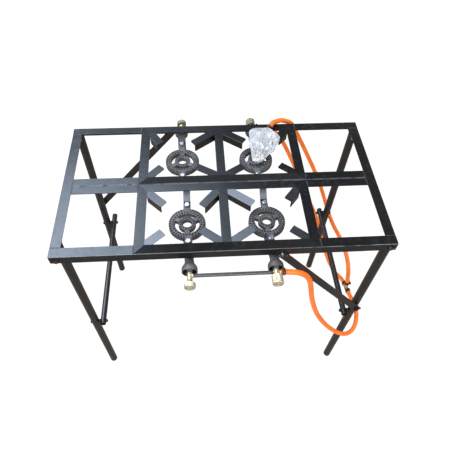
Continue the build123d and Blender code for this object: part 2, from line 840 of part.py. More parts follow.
tube_z = height - tube_drop
front_inlet = (burner_places["front_right"]["mouth_x"] + port_reach + barb_length, -port_line, tube_z)
back_inlet = (burner_places["back_right"]["mouth_x"] + port_reach + barb_length, port_line, tube_z)
tee_front = along(tee_centre, tee_run, -tee_reach)
tee_back = along(tee_centre, tee_run, tee_reach)
tee_up = along(tee_centre, tee_branch, tee_reach)
regulator_centre = (
    burner_places["back_right"]["x"] + regulator_aside,
    burner_places["back_right"]["y"] + regulator_back,
    height + regulator_rise,
)
regulator_outlet = along(regulator_centre, regulator_axis, -regulator_reach)

hose_front_points = [
    front_inlet,
    along(front_inlet, (1, 0, 0), 26.0),
    (201.0, -280.0, height - 60.0),
    (222.0, -278.0, height - 84.0),
    (237.0, -276.0, height - 118.0),
    (248.0, -274.0, height - 162.0),
    (264.0, -272.0, height - 230.0),
    (296.0, -270.0, height - 330.0),
    (344.0, -269.0, height - 426.0),
    (396.0, -268.0, height - 494.0),
    (433.0, -266.0, height - 523.0),
    (463.0, -255.0, height - 529.0),
    (483.0, -231.0, height - 519.0),
    (489.0, -201.0, height - 501.0),
    (483.0, -169.0, height - 488.0),
    along(tee_front, tee_run, -29.0),
    tee_front,
]
hose_supply_points = [
    tee_up,
    along(tee_up, tee_branch, 26.0),
    (470.0, -61.0, height - 445.0),
    (470.0, -39.0, height - 422.0),
    (470.0, -10.0, height - 409.0),
    (469.0, 27.0, height - 406.0),
    (468.0, 80.0, height - 418.0),
    (467.0, 146.0, height - 444.0),
    (465.0, 196.0, height - 454.0),
    (461.0, 231.0, height - 445.0),
    (452.0, 256.0, height - 424.0),
    (439.0, 269.0, height - 392.0),
    (421.0, 271.0, height - 350.0),
    (396.0, 270.0, height - 297.0),
    (352.0, 268.0, height - 214.0),
    (306.0, 266.0, height - 128.0),
    (268.0, 266.0, height - 57.0),
    (247.0, 266.0, height - 18.0),
    (229.0, 262.0, height + 2.0),
    (212.0, 254.0, height + 15.0),
    (196.0, 241.0, height + 20.0),
    along(regulator_outlet, regulator_axis, -28.0),
    regulator_outlet,
]
hose_back_points = [
    tee_back,
    along(tee_back, tee_run, 29.0),
    (470.0, -24.0, height - 544.0),
    (470.0, 18.0, height - 577.0),
    (470.0, 84.0, height - 608.0),
    (469.0, 154.0, height - 624.0),
    (467.0, 212.0, height - 618.0),
    (458.0, 250.0, height - 592.0),
    (438.0, 269.0, height - 546.0),
    (410.0, 274.0, height - 486.0),
    (372.0, 275.0, height - 405.0),
    (330.0, 275.0, height - 312.0),
    (291.0, 276.0, height - 229.0),
    (256.0, 278.0, height - 159.0),
    (235.0, 279.0, height - 121.0),
    (217.0, 280.0, height - 91.0),
    (199.0, 280.0, height - 69.0),
    (180.0, 280.0, height - 55.0),
    along(back_inlet, (1, 0, 0), 23.0),
    back_inlet,
]


def clamp(end, direction):
    """A worm-drive clamp a little way in from a hose's end."""
    d = vec(direction).normalized()
    a = vec(end) + d * clamp_inset
    b = a + d * clamp_width
    inner = hose_radius + clamp_gap
    outer = inner + clamp_band
    band = pipe(tuple(a), tuple(b), outer, inner)
    up = Vector(0, 0, 1)
    if abs(d.Z) > 0.8:
        up = Vector(1, 0, 0)
    side = (up - d * up.dot(d)).normalized()
    across = d.cross(side)
    middle = (a + b) * 0.5 + side * (outer + clamp_screw - 0.4)
    screw = rod(tuple(middle - across * 7), tuple(middle + across * 7), clamp_screw)
    return (band + screw) - rod(tuple(a - d), tuple(b + d), inner)


def hose_ends(points):
    first = tuple(vec(points[1]) - vec(points[0]))
    last = tuple(vec(points[-2]) - vec(points[-1]))
    return (points[0], first), (points[-1], last)


def gas_hoses():
    routes = {
        "hose_front": hose_front_points,
        "hose_supply": hose_supply_points,
        "hose_back": hose_back_points,
    }
    clamps = []
    for name, points in routes.items():
        parts[name] = hose(name, points)
        for end, direction in hose_ends(points):
            clamps.append(clamp(end, direction))
    parts["hose_clamps"] = clamps
    tee = rod(tee_front, tee_back, tee_radius)
    tee = tee + rod(tee_centre, tee_up, tee_radius)
    tee = tee + Pos(*tee_centre) * Sphere(tee_core)
    parts["hose_tee"] = tee


# Regulator and bag
def regulator():
    c = regulator_centre
    a = vec(regulator_axis).normalized()
    up = (Vector(0, 0, 1) - a * a.Z).normalized()
    disc = rod(tuple(vec(c) - up * regulator_half), tuple(vec(c) + up * regulator_half), regulator_radius)
    disc = fillet(disc.edges().filter_by(GeomType.CIRCLE), 4.0)
    cap = rod(tuple(vec(c) + up * regulator_half), tuple(vec(c) + up * (regulator_half + 3)), 13.0)
    body = disc + cap
    body = body + rod(along(c, a, -regulator_reach), along(c, a, -30), port_boss)
    body = body + rod(along(c, a, inlet_start), along(c, a, inlet_end), inlet_radius)
    body = body + rod(along(c, a, inlet_end), along(c, a, spigot_end), spigot_radius)
    parts["regulator_body"] = body

    start = inlet_end + spacer_gap
    end = start + hand_nut_length
    nut = rod(along(c, a, start), along(c, a, end), hand_nut_hub)
    side = a.cross(up).normalized()
    plane = Plane(origin=along(c, a, start + 2), x_dir=side, z_dir=a)
    wing = extrude(plane * Rectangle(2 * hand_nut_wing, 4.0), amount=hand_nut_length - 4)
    nut = nut + wing
    nut = nut - rod(along(c, a, start - 1), along(c, a, end + 1), spigot_radius + stem_gap)
    parts["regulator_wing_nut"] = nut

    # The bag: a closed film, drawn in round the hose and at its tail
    mouth = along(c, a, -regulator_reach)
    sections = [
        (along(mouth, a, -1), hose_radius + 0.9, hose_radius + 0.9),
        (along(mouth, a, 10), 40.0, 15.0),
        (along(c, a, -18), 50.0, 21.0),
        (along(c, a, 8), 44.0, 22.0),
        (along(c, a, 32), 31.0, 19.0),
        (tuple(vec(c) + vec(bag_tail)), 13.0, 13.0),
    ]
    across = Vector(-a.Y, a.X, 0).normalized()
    outer = []
    inner = []
    for i, (centre, w, h) in enumerate(sections):
        before = vec(sections[max(i - 1, 0)][0])
        after = vec(sections[min(i + 1, len(sections) - 1)][0])
        direction = (after - before).normalized()
        plane = Plane(origin=vec(centre), x_dir=across, z_dir=direction)
        outer.append(plane * Ellipse(w, h * 1.0001))
        shift = bag_film if i == len(sections) - 1 else 0.0
        inner_plane = Plane(origin=vec(centre) - direction * shift, x_dir=across, z_dir=direction)
        inner.append(inner_plane * Ellipse(w - bag_film, h * 1.0001 - bag_film))
    shell = loft(outer) - loft(inner)
    parts["plastic_bag"] = shell


frame_members()
pan_supports()
burner_set()
gas_train()
legs()
stretchers()
braces()
gas_hoses()
regulator()

os.makedirs("parts", exist_ok=True)
for name, shape in parts.items():
    solids = shape if isinstance(shape, list) else [shape]
    solids = [solid for piece in solids for solid in piece.solids()]
    group = solids[0] if len(solids) == 1 else Compound(children=solids)
    export_step(group, "parts/" + name + ".step")
print(len(parts), "nodes")
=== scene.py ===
import math

import bmesh
import bpy
from mathutils import Matrix, Vector, noise


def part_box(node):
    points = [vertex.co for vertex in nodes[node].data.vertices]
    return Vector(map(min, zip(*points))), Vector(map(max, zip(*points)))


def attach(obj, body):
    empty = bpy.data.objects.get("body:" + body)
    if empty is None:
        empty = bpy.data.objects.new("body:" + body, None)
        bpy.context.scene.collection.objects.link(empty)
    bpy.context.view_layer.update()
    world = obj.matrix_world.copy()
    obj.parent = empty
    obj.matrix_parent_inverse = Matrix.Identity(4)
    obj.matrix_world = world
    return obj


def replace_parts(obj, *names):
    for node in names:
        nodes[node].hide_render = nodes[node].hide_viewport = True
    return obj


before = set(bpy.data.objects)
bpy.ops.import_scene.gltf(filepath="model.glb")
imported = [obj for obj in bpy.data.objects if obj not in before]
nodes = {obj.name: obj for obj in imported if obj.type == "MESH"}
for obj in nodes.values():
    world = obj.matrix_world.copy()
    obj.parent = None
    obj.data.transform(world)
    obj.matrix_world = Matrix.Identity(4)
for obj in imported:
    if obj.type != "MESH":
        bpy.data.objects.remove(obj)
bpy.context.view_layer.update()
scene = bpy.context.scene
scene.view_settings.view_transform = "Standard"

# the frame gives the stove's own lines
railLow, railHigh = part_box("front_rail_centre")
seamLow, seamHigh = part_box("mid_rails_left")
topZ = railHigh.z
frontY, backY = railLow.y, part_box("back_rail_centre")[1].y
leftX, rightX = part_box("end_rail_left")[0].x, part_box("end_rail_right")[1].x
bayLeft, bayRight = railLow.x, railHigh.x
midY = seamLow.y * 0.5 + seamHigh.y * 0.5
flange = railHigh.z - railLow.z
cells = ("front_left", "front_right", "back_left", "back_right")


def say(text):
    print("stove:", text)


def added(name, data):
    made = bpy.data.objects.new(name, data)
    scene.collection.objects.link(made)
    return made


# front_left becomes FrontLeft
def inCamels(cell):
    return cell.title().replace("_", "")


# Camera
photoCamera = {
    "place": (-0.06324, -0.85821, 1.76354),
    "ahead": (0.05422, 0.59506, -0.80185),
    "right": (0.99787, -0.06145, 0.02187),
    "lens": 35.339,
}


def makeCamera():
    data = bpy.data.cameras.new("photoCamera")
    data.lens = photoCamera["lens"]
    data.sensor_width = 36
    camera = added("photoCamera", data)
    ahead = Vector(photoCamera["ahead"]).normalized()
    right = Vector(photoCamera["right"]).normalized()
    up = right.cross(ahead)
    turn = Matrix((right, up, -ahead)).transposed()
    camera.matrix_world = Matrix.Translation(photoCamera["place"]) @ turn.to_4x4()
    scene.camera = camera


makeCamera()


# Shader maths: a wire is a socket that adds and multiplies like a number
class Wire:
    def __init__(self, finish, socket):
        self.finish = finish
        self.socket = socket

    def maths(self, operation, other=None, swapped=False):
        values = [self] if other is None else [self, other]
        if swapped:
            values.reverse()
        return self.finish.node("ShaderNodeMath", {"operation": operation}, values)

    def __add__(self, other):
        return self.maths("ADD", other)

    __radd__ = __add__

    def __mul__(self, other):
        return self.maths("MULTIPLY", other)

    __rmul__ = __mul__

    def __sub__(self, other):
        return self.maths("SUBTRACT", other)

    def __rsub__(self, other):
        return self.maths("SUBTRACT", other, True)


class Finish:
    def __init__(self, name):
        self.material = bpy.data.materials.new(name)
        self.material.use_nodes = True
        self.tree = self.material.node_tree
        self.tree.nodes.clear()
        self.place = self.node("ShaderNodeTexCoord", output="Object")

    def node(self, kind, settings=None, values=None, output=0):
        made = self.tree.nodes.new(kind)
        for key, value in (settings or {}).items():
            setattr(made, key, value)
        pairs = values.items() if isinstance(values, dict) else enumerate(values or [])
        for key, value in pairs:
            if isinstance(value, Wire):
                self.tree.links.new(value.socket, made.inputs[key])
            else:
                made.inputs[key].default_value = value
        return Wire(self, made.outputs[output]) if made.outputs else None

    def sides(self):
        parts = self.node("ShaderNodeSeparateXYZ", None, [self.place]).socket.node
        return [Wire(self, socket) for socket in parts.outputs]

    def cloud(self, scale, detail=3, rough=0.55, stretch=None):
        place = self.place
        if stretch:
            place = self.node("ShaderNodeMapping", None, {"Vector": place, "Scale": stretch})
        values = {"Vector": place, "Scale": scale, "Detail": detail, "Roughness": rough}
        return self.node("ShaderNodeTexNoise", None, values)

    def cells(self, scale, feature="F1"):
        values = {"Vector": self.place, "Scale": scale}
        return self.node("ShaderNodeTexVoronoi", {"feature": feature}, values)

    def step(self, wire, low, high):
        values = {"Value": wire, "From Min": low, "From Max": high}
        return self.node("ShaderNodeMapRange", {"interpolation_type": "SMOOTHSTEP"}, values)

    def blend(self, share, first, second):
        values = {6: (*first, 1) if isinstance(first, tuple) else first}
        values[7] = (*second, 1) if isinstance(second, tuple) else second
        values[0] = share
        return self.node("ShaderNodeMix", {"data_type": "RGBA"}, values, output=2)

    def bump(self, height, strength, distance, under=None):
        values = {"Height": height, "Strength": strength, "Distance": distance}
        if under:
            values["Normal"] = under
        return self.node("ShaderNodeBump", None, values)

    def skin(self, colour, rough, normal, **others):
        values = {"Base Color": colour, "Roughness": rough, "Normal": normal, **others}
        shader = self.node("ShaderNodeBsdfPrincipled", None, values)
        self.node("ShaderNodeOutputMaterial", None, {"Surface": shader})
        return self.material


# Finishes
enamelLook = {"black": (0.0075, 0.0080, 0.0092), "dust": (0.035, 0.038, 0.044), "speck": (0.10, 0.105, 0.11)}

# Painted highlight: a thin bright line along a few top edges, where the edges catch the light
edgeHighlightLook = {
    "front": {"y": frontY, "from": 0.0, "to": 0.0013, "deep": 0.0020, "colour": (0.24, 0.26, 0.29)},
    "seam": {"y": midY, "from": 0.0008, "to": 0.0024, "deep": 0.0022, "colour": (0.17, 0.18, 0.205)},
}

# Painted sheen: the tops of the far and the near arm at the left of each front cell are painted paler, a
# reflection of the light painted into the colour
armSheens = {
    "left": {"node": "pan_supports_front_left", "colour": (0.085, 0.095, 0.118), "far": 0.45, "near": 0.80},
    "right": {"node": "pan_supports_front_right", "colour": (0.150, 0.165, 0.215), "far": 1.0, "near": 0.25},
}


# lean tips the shine of a flange that was welded in slightly turned, and
# beyond the middle seam the flange leans another way
def makeEnamel(name, black=enamelLook["black"], lean=None, leanBeyond=None, highlightEdge=None, paintedSheen=None):
    f = Finish(name)
    aside, depth, level = f.sides()
    drift = f.cloud(9, 3)
    film = f.cloud(60, 4)
    peel = f.cloud(900, 2)
    streak = f.cloud(30, 3, 0.6, (0.12, 0.12, 1.0))
    speck = f.step(f.cloud(420, 2), 0.70, 0.78)
    dust = f.step(film * 0.6 + streak * 0.4, 0.5, 0.72)
    colour = f.blend(dust * 0.35, black, enamelLook["dust"])
    colour = f.blend(speck * 0.5, colour, enamelLook["speck"])
    # painted sheen: the arm tops are painted paler
    if paintedSheen:
        low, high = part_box(paintedSheen["node"])
        middle = (low + high) / 2
        left = 1 - f.step(aside, middle.x - 0.001, middle.x + 0.001)
        back = f.step(depth, middle.y - 0.001, middle.y + 0.001)
        share = left * f.step(level, high.z - 0.0028, high.z - 0.0026)
        share = share * (back * paintedSheen["far"] + (1 - back) * paintedSheen["near"])
        colour = f.blend(share, colour, paintedSheen["colour"])
    # painted highlight: a thin bright line along the chosen top edge
    if highlightEdge:
        highlight = edgeHighlightLook[highlightEdge]
        off = (depth - highlight["y"]).maths("ABSOLUTE")
        near = f.step(off, highlight["from"] - 0.0003, highlight["from"] + 0.0002)
        near = near * (1 - f.step(off, highlight["to"] - 0.0006, highlight["to"]))
        high = f.step(level, topZ - highlight["deep"], topZ - highlight["deep"] * 0.6)
        patchyHighlight = f.step(f.cloud(14, 3), 0.30, 0.52) * (0.55 + 0.45 * film)
        colour = f.blend(near * high * patchyHighlight, colour, highlight["colour"])
    gloss = 0.24 + 0.12 * drift + 0.12 * dust + 0.2 * speck
    normal = f.bump(peel + film * 1.6, 0.22, 0.00035)
    normal = f.bump(drift, 0.35, 0.004, normal)
    if lean:
        tip = lean
        if leanBeyond:
            tip = f.blend(f.step(depth, midY - 0.0002, midY + 0.0002), lean, leanBeyond)
        tipped = f.node("ShaderNodeVectorMath", {"operation": "ADD"}, [normal, tip])
        normal = f.node("ShaderNodeVectorMath", {"operation": "NORMALIZE"}, [tipped])
    return f.skin(colour, gloss, normal, IOR=1.5)


# Painted sheen: the bent strips are painted grey where they slope up to the rails, paler in the front cells
def makeStripSheen():
    f = Finish("stripSheen")
    depth, level = f.sides()[1:]
    slope = f.step(level, topZ - 0.0342, topZ - 0.0325)
    front = 1 - f.step(depth, midY - 0.01, midY + 0.01)
    film = f.cloud(90, 4)
    # painted sheen: paler grey on the slopes, more so in the front cells
    paintedSheen = f.blend(front, (0.050, 0.055, 0.066), (0.190, 0.212, 0.255))
    colour = f.blend(slope * (0.75 + 0.35 * film), enamelLook["black"], paintedSheen)
    normal = f.bump(film + f.cloud(900, 2), 0.22, 0.00035)
    return f.skin(colour, 0.34 + 0.14 * film, normal, IOR=1.5)


def makeCastIron():
    f = Finish("castIron")
    grit = f.cloud(1100, 3, 0.7)
    lump = f.cloud(260, 3)
    patch = f.cloud(35, 3)
    pit = f.step(f.cells(620), 0.12, 0.34)
    colour = f.blend(f.step(patch, 0.35, 0.7), (0.064, 0.066, 0.073), (0.130, 0.131, 0.140))
    colour = f.blend(f.step(grit, 0.5, 0.75) * 0.55, colour, (0.27, 0.27, 0.28))
    colour = f.blend((1 - pit) * 0.6, colour, (0.012, 0.012, 0.013))
    rough = 0.46 + 0.22 * grit
    normal = f.bump(grit * 0.6 + lump + pit * 0.5, 0.75, 0.0007)
    return f.skin(colour, rough, normal, Metallic=0.25)


def makeZinc(name, tint, dark, rough):
    f = Finish(name)
    spangle = f.cells(900)
    wear = f.cloud(240, 3)
    fine = f.cloud(2400, 2)
    colour = f.blend(f.step(wear, 0.35, 0.7), dark, tint)
    gloss = rough + 0.14 * wear
    normal = f.bump(fine + spangle * 0.5, 0.25, 0.0002)
    return f.skin(colour, gloss, normal, Metallic=1.0)


def makeBrass(name, bright, dull, rough):
    f = Finish(name)
    tarnish = f.cloud(170, 4, 0.6)
    turning = f.cloud(1800, 2, 0.5, (0.25, 1.0, 0.25))
    colour = f.blend(f.step(tarnish, 0.42, 0.74), bright, dull)
    gloss = rough + 0.18 * tarnish
    normal = f.bump(turning, 0.18, 0.0002)
    return f.skin(colour, gloss, normal, Metallic=0.7)


def makeHoseRubber():
    f = Finish("hoseRubber")
    drift = f.cloud(22, 3)
    grain = f.cloud(700, 3)
    scuff = f.step(f.cloud(120, 4, 0.65), 0.60, 0.74)
    colour = f.blend(f.step(drift, 0.3, 0.7), (0.97, 0.180, 0.007), (1.0, 0.225, 0.013))
    colour = f.blend(scuff * 0.2, colour, (0.95, 0.28, 0.06))
    gloss = 0.44 + 0.14 * grain + 0.12 * scuff
    normal = f.bump(grain, 0.25, 0.0003)
    return f.skin(colour, gloss, normal, IOR=1.4)


# The film's creases run the long way of the bag
def makeFilm():
    f = Finish("bagFilm")
    values = {"Vector": f.place, "Angle": -0.42}
    turned = f.node("ShaderNodeVectorRotate", {"rotation_type": "Z_AXIS"}, values)
    f.place = f.node("ShaderNodeMapping", None, {"Vector": turned, "Scale": (1.0, 0.20, 1.0)})
    fold = f.cloud(62, 4, 0.55)
    crease = f.cells(115, "DISTANCE_TO_EDGE")
    fine = f.cloud(300, 3, 0.55)
    line = 1 - f.step(crease, 0.0, 0.09)
    haze = f.step(fold, 0.38, 0.68)
    clear = 0.52 + 0.26 * haze + 0.18 * line
    colour = f.blend(haze, (0.58, 0.63, 0.71), (0.86, 0.90, 0.97))
    normal = f.bump(fold * 1.3 + line * 0.4 + fine * 0.15, 0.5, 0.0022)
    return f.skin(colour, 0.30, normal, Alpha=clear, IOR=1.45)


def makeWeld():
    f = Finish("weldEnamel")
    patch = f.cloud(300, 3)
    colour = f.blend(f.step(patch, 0.4, 0.7), (0.012, 0.012, 0.014), (0.05, 0.052, 0.056))
    normal = f.bump(f.cloud(1500, 3), 0.4, 0.0003)
    return f.skin(colour, 0.27 + 0.1 * patch, normal)


finishes = {
    "enamel": makeEnamel("frameEnamel"),
    "edgeEnamel": makeEnamel("frontEdgeEnamel", highlightEdge="front"),
    "seamEnamel": makeEnamel("midSeamEnamel", highlightEdge="seam"),
    "frontEnamel": makeEnamel("frontRailEnamel", lean=(0.30, 0.0, 0.0), highlightEdge="front"),
    "midEnamel": makeEnamel(
        "midRailEnamel", lean=(-0.02, -0.04, 0.0), leanBeyond=(0.12, 0.16, 0.0), highlightEdge="seam"
    ),
    "stripSheenEnamel": makeStripSheen(),
    "crossEnamel": makeEnamel("leftCrossEnamel", lean=(0.08, 0.0, 0.0)),
    "armEnamel": makeEnamel("leftArmEnamel", lean=(-0.08, 0.02, 0.0), paintedSheen=armSheens["left"]),
    "rightArmEnamel": makeEnamel("rightArmEnamel", lean=(-0.14, 0.06, 0.0), paintedSheen=armSheens["right"]),
    "legEnamel": makeEnamel("legEnamel", (0.0175, 0.0150, 0.0140)),
    "pipeEnamel": makeEnamel("pipeEnamel", (0.060, 0.055, 0.066)),
    "iron": makeCastIron(),
    "zinc": makeZinc("brightZinc", (0.66, 0.67, 0.69), (0.40, 0.42, 0.44), 0.26),
    "oiledSteel": makeZinc("oiledSteel", (0.22, 0.20, 0.19), (0.09, 0.08, 0.075), 0.30),
    "blackSteel": makeZinc("blackenedSteel", (0.060, 0.055, 0.052), (0.030, 0.028, 0.027), 0.40),
    "clampSteel": makeZinc("clampSteel", (0.20, 0.09, 0.06), (0.07, 0.035, 0.03), 0.34),
    "brass": makeBrass("turnedBrass", (0.74, 0.66, 0.44), (0.48, 0.39, 0.22), 0.26),
    "knob": makeBrass("castKnob", (0.66, 0.61, 0.45), (0.38, 0.33, 0.21), 0.40),
    # a darker copy of the knob brass, for the back knobs
    "backKnob": makeBrass("darkerBackKnob", (0.36, 0.32, 0.23), (0.19, 0.16, 0.11), 0.40),
    "dieCast": makeZinc("dieCastAlloy", (0.42, 0.40, 0.35), (0.24, 0.22, 0.18), 0.34),
    "rubber": makeHoseRubber(),
    "film": makeFilm(),
    "weld": makeWeld(),
}
say("finishes made")


# Mesh stock: closed shapes are gathered here and become one piece
class Stock:
    def __init__(self):
        self.mesh = bmesh.new()

    # a lathe shape from (radius, distance) pairs along an axis
    def turned(self, profile, start, axis, steps=32, rule=None, ring=False):
        axis = Vector(axis).normalized()
        side = axis.orthogonal().normalized()
        if abs(axis.z) < 0.9:
            side = Vector((0, 0, 1)).cross(axis).normalized()
        other = axis.cross(side)
        start = Vector(start)
        rows = []
        for radius, distance in profile:
            middle = start + axis * distance
            if radius < 1e-7:
                rows.append([self.mesh.verts.new(middle)])
                continue
            row = []
            for i in range(steps):
                angle = 2 * math.pi * i / steps
                r, lift = (radius, 0.0) if rule is None else rule(radius, distance, angle)
                out = side * math.cos(angle) + other * math.sin(angle)
                row.append(self.mesh.verts.new(middle + out * r + axis * lift))
            rows.append(row)
        self.join(rows + rows[:1] if ring else rows)

    # faces between rows of corners, where a row of one corner is a tip
    def join(self, rows):
        for lower, upper in zip(rows, rows[1:]):
            steps = max(len(lower), len(upper))
            for i in range(steps if steps > 1 else 0):
                j = (i + 1) % steps
                below, above = len(lower), len(upper)
                corners = [lower[i % below], lower[j % below], upper[j % above], upper[i % above]]
                self.mesh.faces.new(list(dict.fromkeys(corners)))

    # a bar with softened edges, turned about its centre
    def bar(self, centre, size, turn=None, soft=0.0008, segments=2):
        place = Matrix.Translation(centre) @ (turn or Matrix.Identity(4)) @ Matrix.Diagonal((*size, 1))
        made = bmesh.ops.create_cube(self.mesh, size=1, matrix=place)["verts"]
        rims = list({edge for vert in made for edge in vert.link_edges})
        bmesh.ops.bevel(self.mesh, geom=rims, offset=soft, segments=segments, affect="EDGES", profile=0.6)

    # a flat plate: an outline of points, thickened by the vector lift
    def plate(self, outline, base, lift, soft=0.0008):
        low = [self.mesh.verts.new(Vector(base) + Vector(p)) for p in outline]
        face = self.mesh.faces.new(low)
        raised = bmesh.ops.extrude_face_region(self.mesh, geom=[face])["geom"]
        high = [g for g in raised if isinstance(g, bmesh.types.BMVert)]
        bmesh.ops.translate(self.mesh, verts=high, vec=Vector(lift))
        rims = {edge for vert in low + high for edge in vert.link_edges}
        flat = [e for e in rims if abs((e.verts[0].co - e.verts[1].co).dot(Vector(lift))) < 1e-12]
        bmesh.ops.bevel(self.mesh, geom=flat, offset=soft, segments=2, affect="EDGES")

    # a nut or bolt head with its corners turned down
    def hexagon(self, start, axis, flats, height, spin=0.0):
        axis = Vector(axis).normalized()
        across = flats / 2
        corner = across / math.cos(math.pi / 6)

        def sixSided(radius, distance, angle):
            local = (angle + spin) % (math.pi / 3) - math.pi / 6
            edge = across / math.cos(local)
            return min(radius, edge), 0.0

        chamfer = (corner - across) * 0.6
        profile = [(0, 0), (across * 0.96, 0), (corner, chamfer), (corner, height - chamfer)]
        profile += [(across * 0.95, height), (0, height)]
        self.turned(profile, start, axis, 36, sixSided)

    def piece(self, name, finish, body, slot, crease=38):
        bmesh.ops.recalc_face_normals(self.mesh, faces=self.mesh.faces)
        data = bpy.data.meshes.new(name)
        self.mesh.to_mesh(data)
        self.mesh.free()
        return dress(added(name, data), finish, body, crease)


def dress(made, finish, body, crease=38):
    made.data.materials.clear()
    made.data.materials.append(finishes[finish])
    made.data.shade_smooth()
    made.data.set_sharp_from_angle(angle=math.radians(crease))
    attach(made, body)
    return made


# Cords: the gas hoses come first
def towards(point, direction, distance):
    return tuple(Vector(point) + Vector(direction).normalized() * distance)


teeCentre = (0.470, -0.090, topZ - 0.512)
teeRun = (0.0, 0.93, -0.368)
teeBranch = (0.0, 0.368, 0.93)
teeReach = 0.016
tubeZ = topZ - 0.050
frontInlet = (0.141, -0.280, tubeZ)
backInlet = (0.128, 0.280, tubeZ)
teeFront = towards(teeCentre, teeRun, -teeReach)
teeBack = towards(teeCentre, teeRun, teeReach)
teeUp = towards(teeCentre, teeBranch, teeReach)
regulatorCentre = (0.137, 0.148, topZ + 0.003)
regulatorAxis = (-0.40, -0.89, -0.20)
regulatorOutlet = towards(regulatorCentre, regulatorAxis, -0.055)
hoseRadius = 0.0075


# knots given by x, y and their height over the top
def hung(*knots):
    return [(x, y, topZ + height) for x, y, height in knots]


hoseRoutes = {
    "front": [
        frontInlet,
        towards(frontInlet, (1, 0, 0), 0.026),
        *hung(
            (0.200, -0.280, -0.062), (0.220, -0.278, -0.088), (0.232, -0.276, -0.122),
            (0.242, -0.274, -0.166), (0.257, -0.272, -0.234), (0.290, -0.270, -0.337),
            (0.341, -0.269, -0.434), (0.392, -0.268, -0.500), (0.428, -0.266, -0.528),
            (0.456, -0.255, -0.532), (0.475, -0.231, -0.522), (0.481, -0.201, -0.503),
            (0.477, -0.169, -0.489),
        ),
        towards(teeFront, teeRun, -0.029),
        teeFront,
    ],
    "supply": [
        teeUp,
        towards(teeUp, teeBranch, 0.026),
        *hung(
            (0.469, -0.061, -0.445), (0.467, -0.039, -0.422), (0.464, -0.010, -0.409),
            (0.462, 0.027, -0.406), (0.460, 0.080, -0.419), (0.459, 0.146, -0.446),
            (0.457, 0.196, -0.456), (0.452, 0.231, -0.448), (0.443, 0.256, -0.428),
            (0.430, 0.269, -0.395), (0.413, 0.271, -0.353), (0.390, 0.270, -0.299),
            (0.349, 0.268, -0.215), (0.305, 0.266, -0.128), (0.267, 0.266, -0.057),
            (0.246, 0.266, -0.018), (0.226, 0.262, -0.008), (0.206, 0.252, 0.006),
            (0.189, 0.240, 0.010),
        ),
        towards(regulatorOutlet, regulatorAxis, -0.028),
        regulatorOutlet,
    ],
    "back": [
        teeBack,
        towards(teeBack, teeRun, 0.029),
        *hung(
            (0.468, -0.024, -0.546), (0.465, 0.018, -0.582), (0.463, 0.084, -0.614),
            (0.462, 0.154, -0.629), (0.460, 0.212, -0.622), (0.452, 0.250, -0.596),
            (0.433, 0.269, -0.550), (0.405, 0.274, -0.488), (0.367, 0.275, -0.407),
            (0.326, 0.275, -0.314), (0.289, 0.276, -0.230), (0.255, 0.278, -0.159),
            (0.235, 0.279, -0.120), (0.216, 0.280, -0.090), (0.198, 0.280, -0.069),
            (0.179, 0.280, -0.055),
        ),
        towards(backInlet, (1, 0, 0), 0.023),
        backInlet,
    ],
}


def makeHose(name):
    route = hoseRoutes[name]
    data = bpy.data.curves.new("gasHose" + name.capitalize(), "CURVE")
    data.dimensions = "3D"
    line = data.splines.new("NURBS")
    line.points.add(len(route) - 1)
    for knot, point in zip(line.points, route):
        knot.co = (*point, 1)
    line.order_u = 3
    line.use_endpoint_u = True
    line.resolution_u = 10
    data.bevel_depth = hoseRadius
    data.bevel_resolution = 6
    data.use_fill_caps = True
    data.materials.append(finishes["rubber"])
    hose = added("gasHose" + name.capitalize(), data)
    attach(hose, "root")
    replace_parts(hose, "hose_" + name)
    return hose


hoses = {name: makeHose(name) for name in hoseRoutes}
say("hoses laid")


# Clamps on the hose ends
clampLook = {"inset": 0.0015, "width": 0.009, "band": 0.0011, "slots": 22, "screw": 0.0031}


# both ends of a hose, each with the way that the hose leaves it
def hoseEnds(name):
    route = [Vector(point) for point in hoseRoutes[name]]
    return [(end, (after - end).normalized()) for end, after in (route[:2], route[:-3:-1])]


def makeClamps(name):
    stock = Stock()
    width = clampLook["width"]
    inner = hoseRadius + 0.0001
    outer = inner + clampLook["band"]

    def slotted(radius, distance, angle):
        middle = abs(distance - width / 2) < width * 0.3
        step = (angle * clampLook["slots"] / (2 * math.pi)) % 1.0
        dip = 0.0005 if middle and radius > inner + 0.0005 and step < 0.45 else 0.0
        return radius - dip, 0.0

    profile = [(inner, 0), (outer - 0.0002, 0), (outer, 0.0003)]
    profile += [(outer, width * s) for s in (0.19, 0.22, 0.5, 0.78, 0.81)]
    profile += [(outer, width - 0.0003), (outer - 0.0002, width), (inner, width)]
    for end, direction in hoseEnds(name):
        start = end + direction * clampLook["inset"]
        stock.turned(profile, start, direction, 88, slotted, ring=True)
        up = Vector((1, 0, 0)) if abs(direction.z) > 0.8 else Vector((0, 0, 1))
        side = (up - direction * up.dot(direction)).normalized()
        across = direction.cross(side)
        middle = start + direction * width / 2 + side * (outer + clampLook["screw"] - 0.0006)
        turn = Matrix((across, direction, side)).transposed().to_4x4()
        stock.bar(middle - side * 0.0004, (0.0085, width * 0.86, 0.0056), turn, 0.0009)
        screw = [(0, 0), (0.0022, 0), (0.0024, 0.0004), (0.0024, 0.0065), (0.0027, 0.0067)]
        screw += [(0.0033, 0.0071), (0.0033, 0.0094), (0.0028, 0.0099), (0.0009, 0.0099)]
        screw += [(0.0008, 0.0091), (0, 0.0091)]
        stock.turned(screw, middle + across * 0.0030, across, 18)
        tail = [(0, 0), (0.0022, 0), (0.0022, 0.0025), (0, 0.0025)]
        stock.turned(tail, middle - across * 0.0065, across, 14)
    clamps = stock.piece("hoseClamps" + name.capitalize(), "clampSteel", "root", "clamp_steel", 30)
    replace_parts(clamps, "hose_clamps")
    return clamps


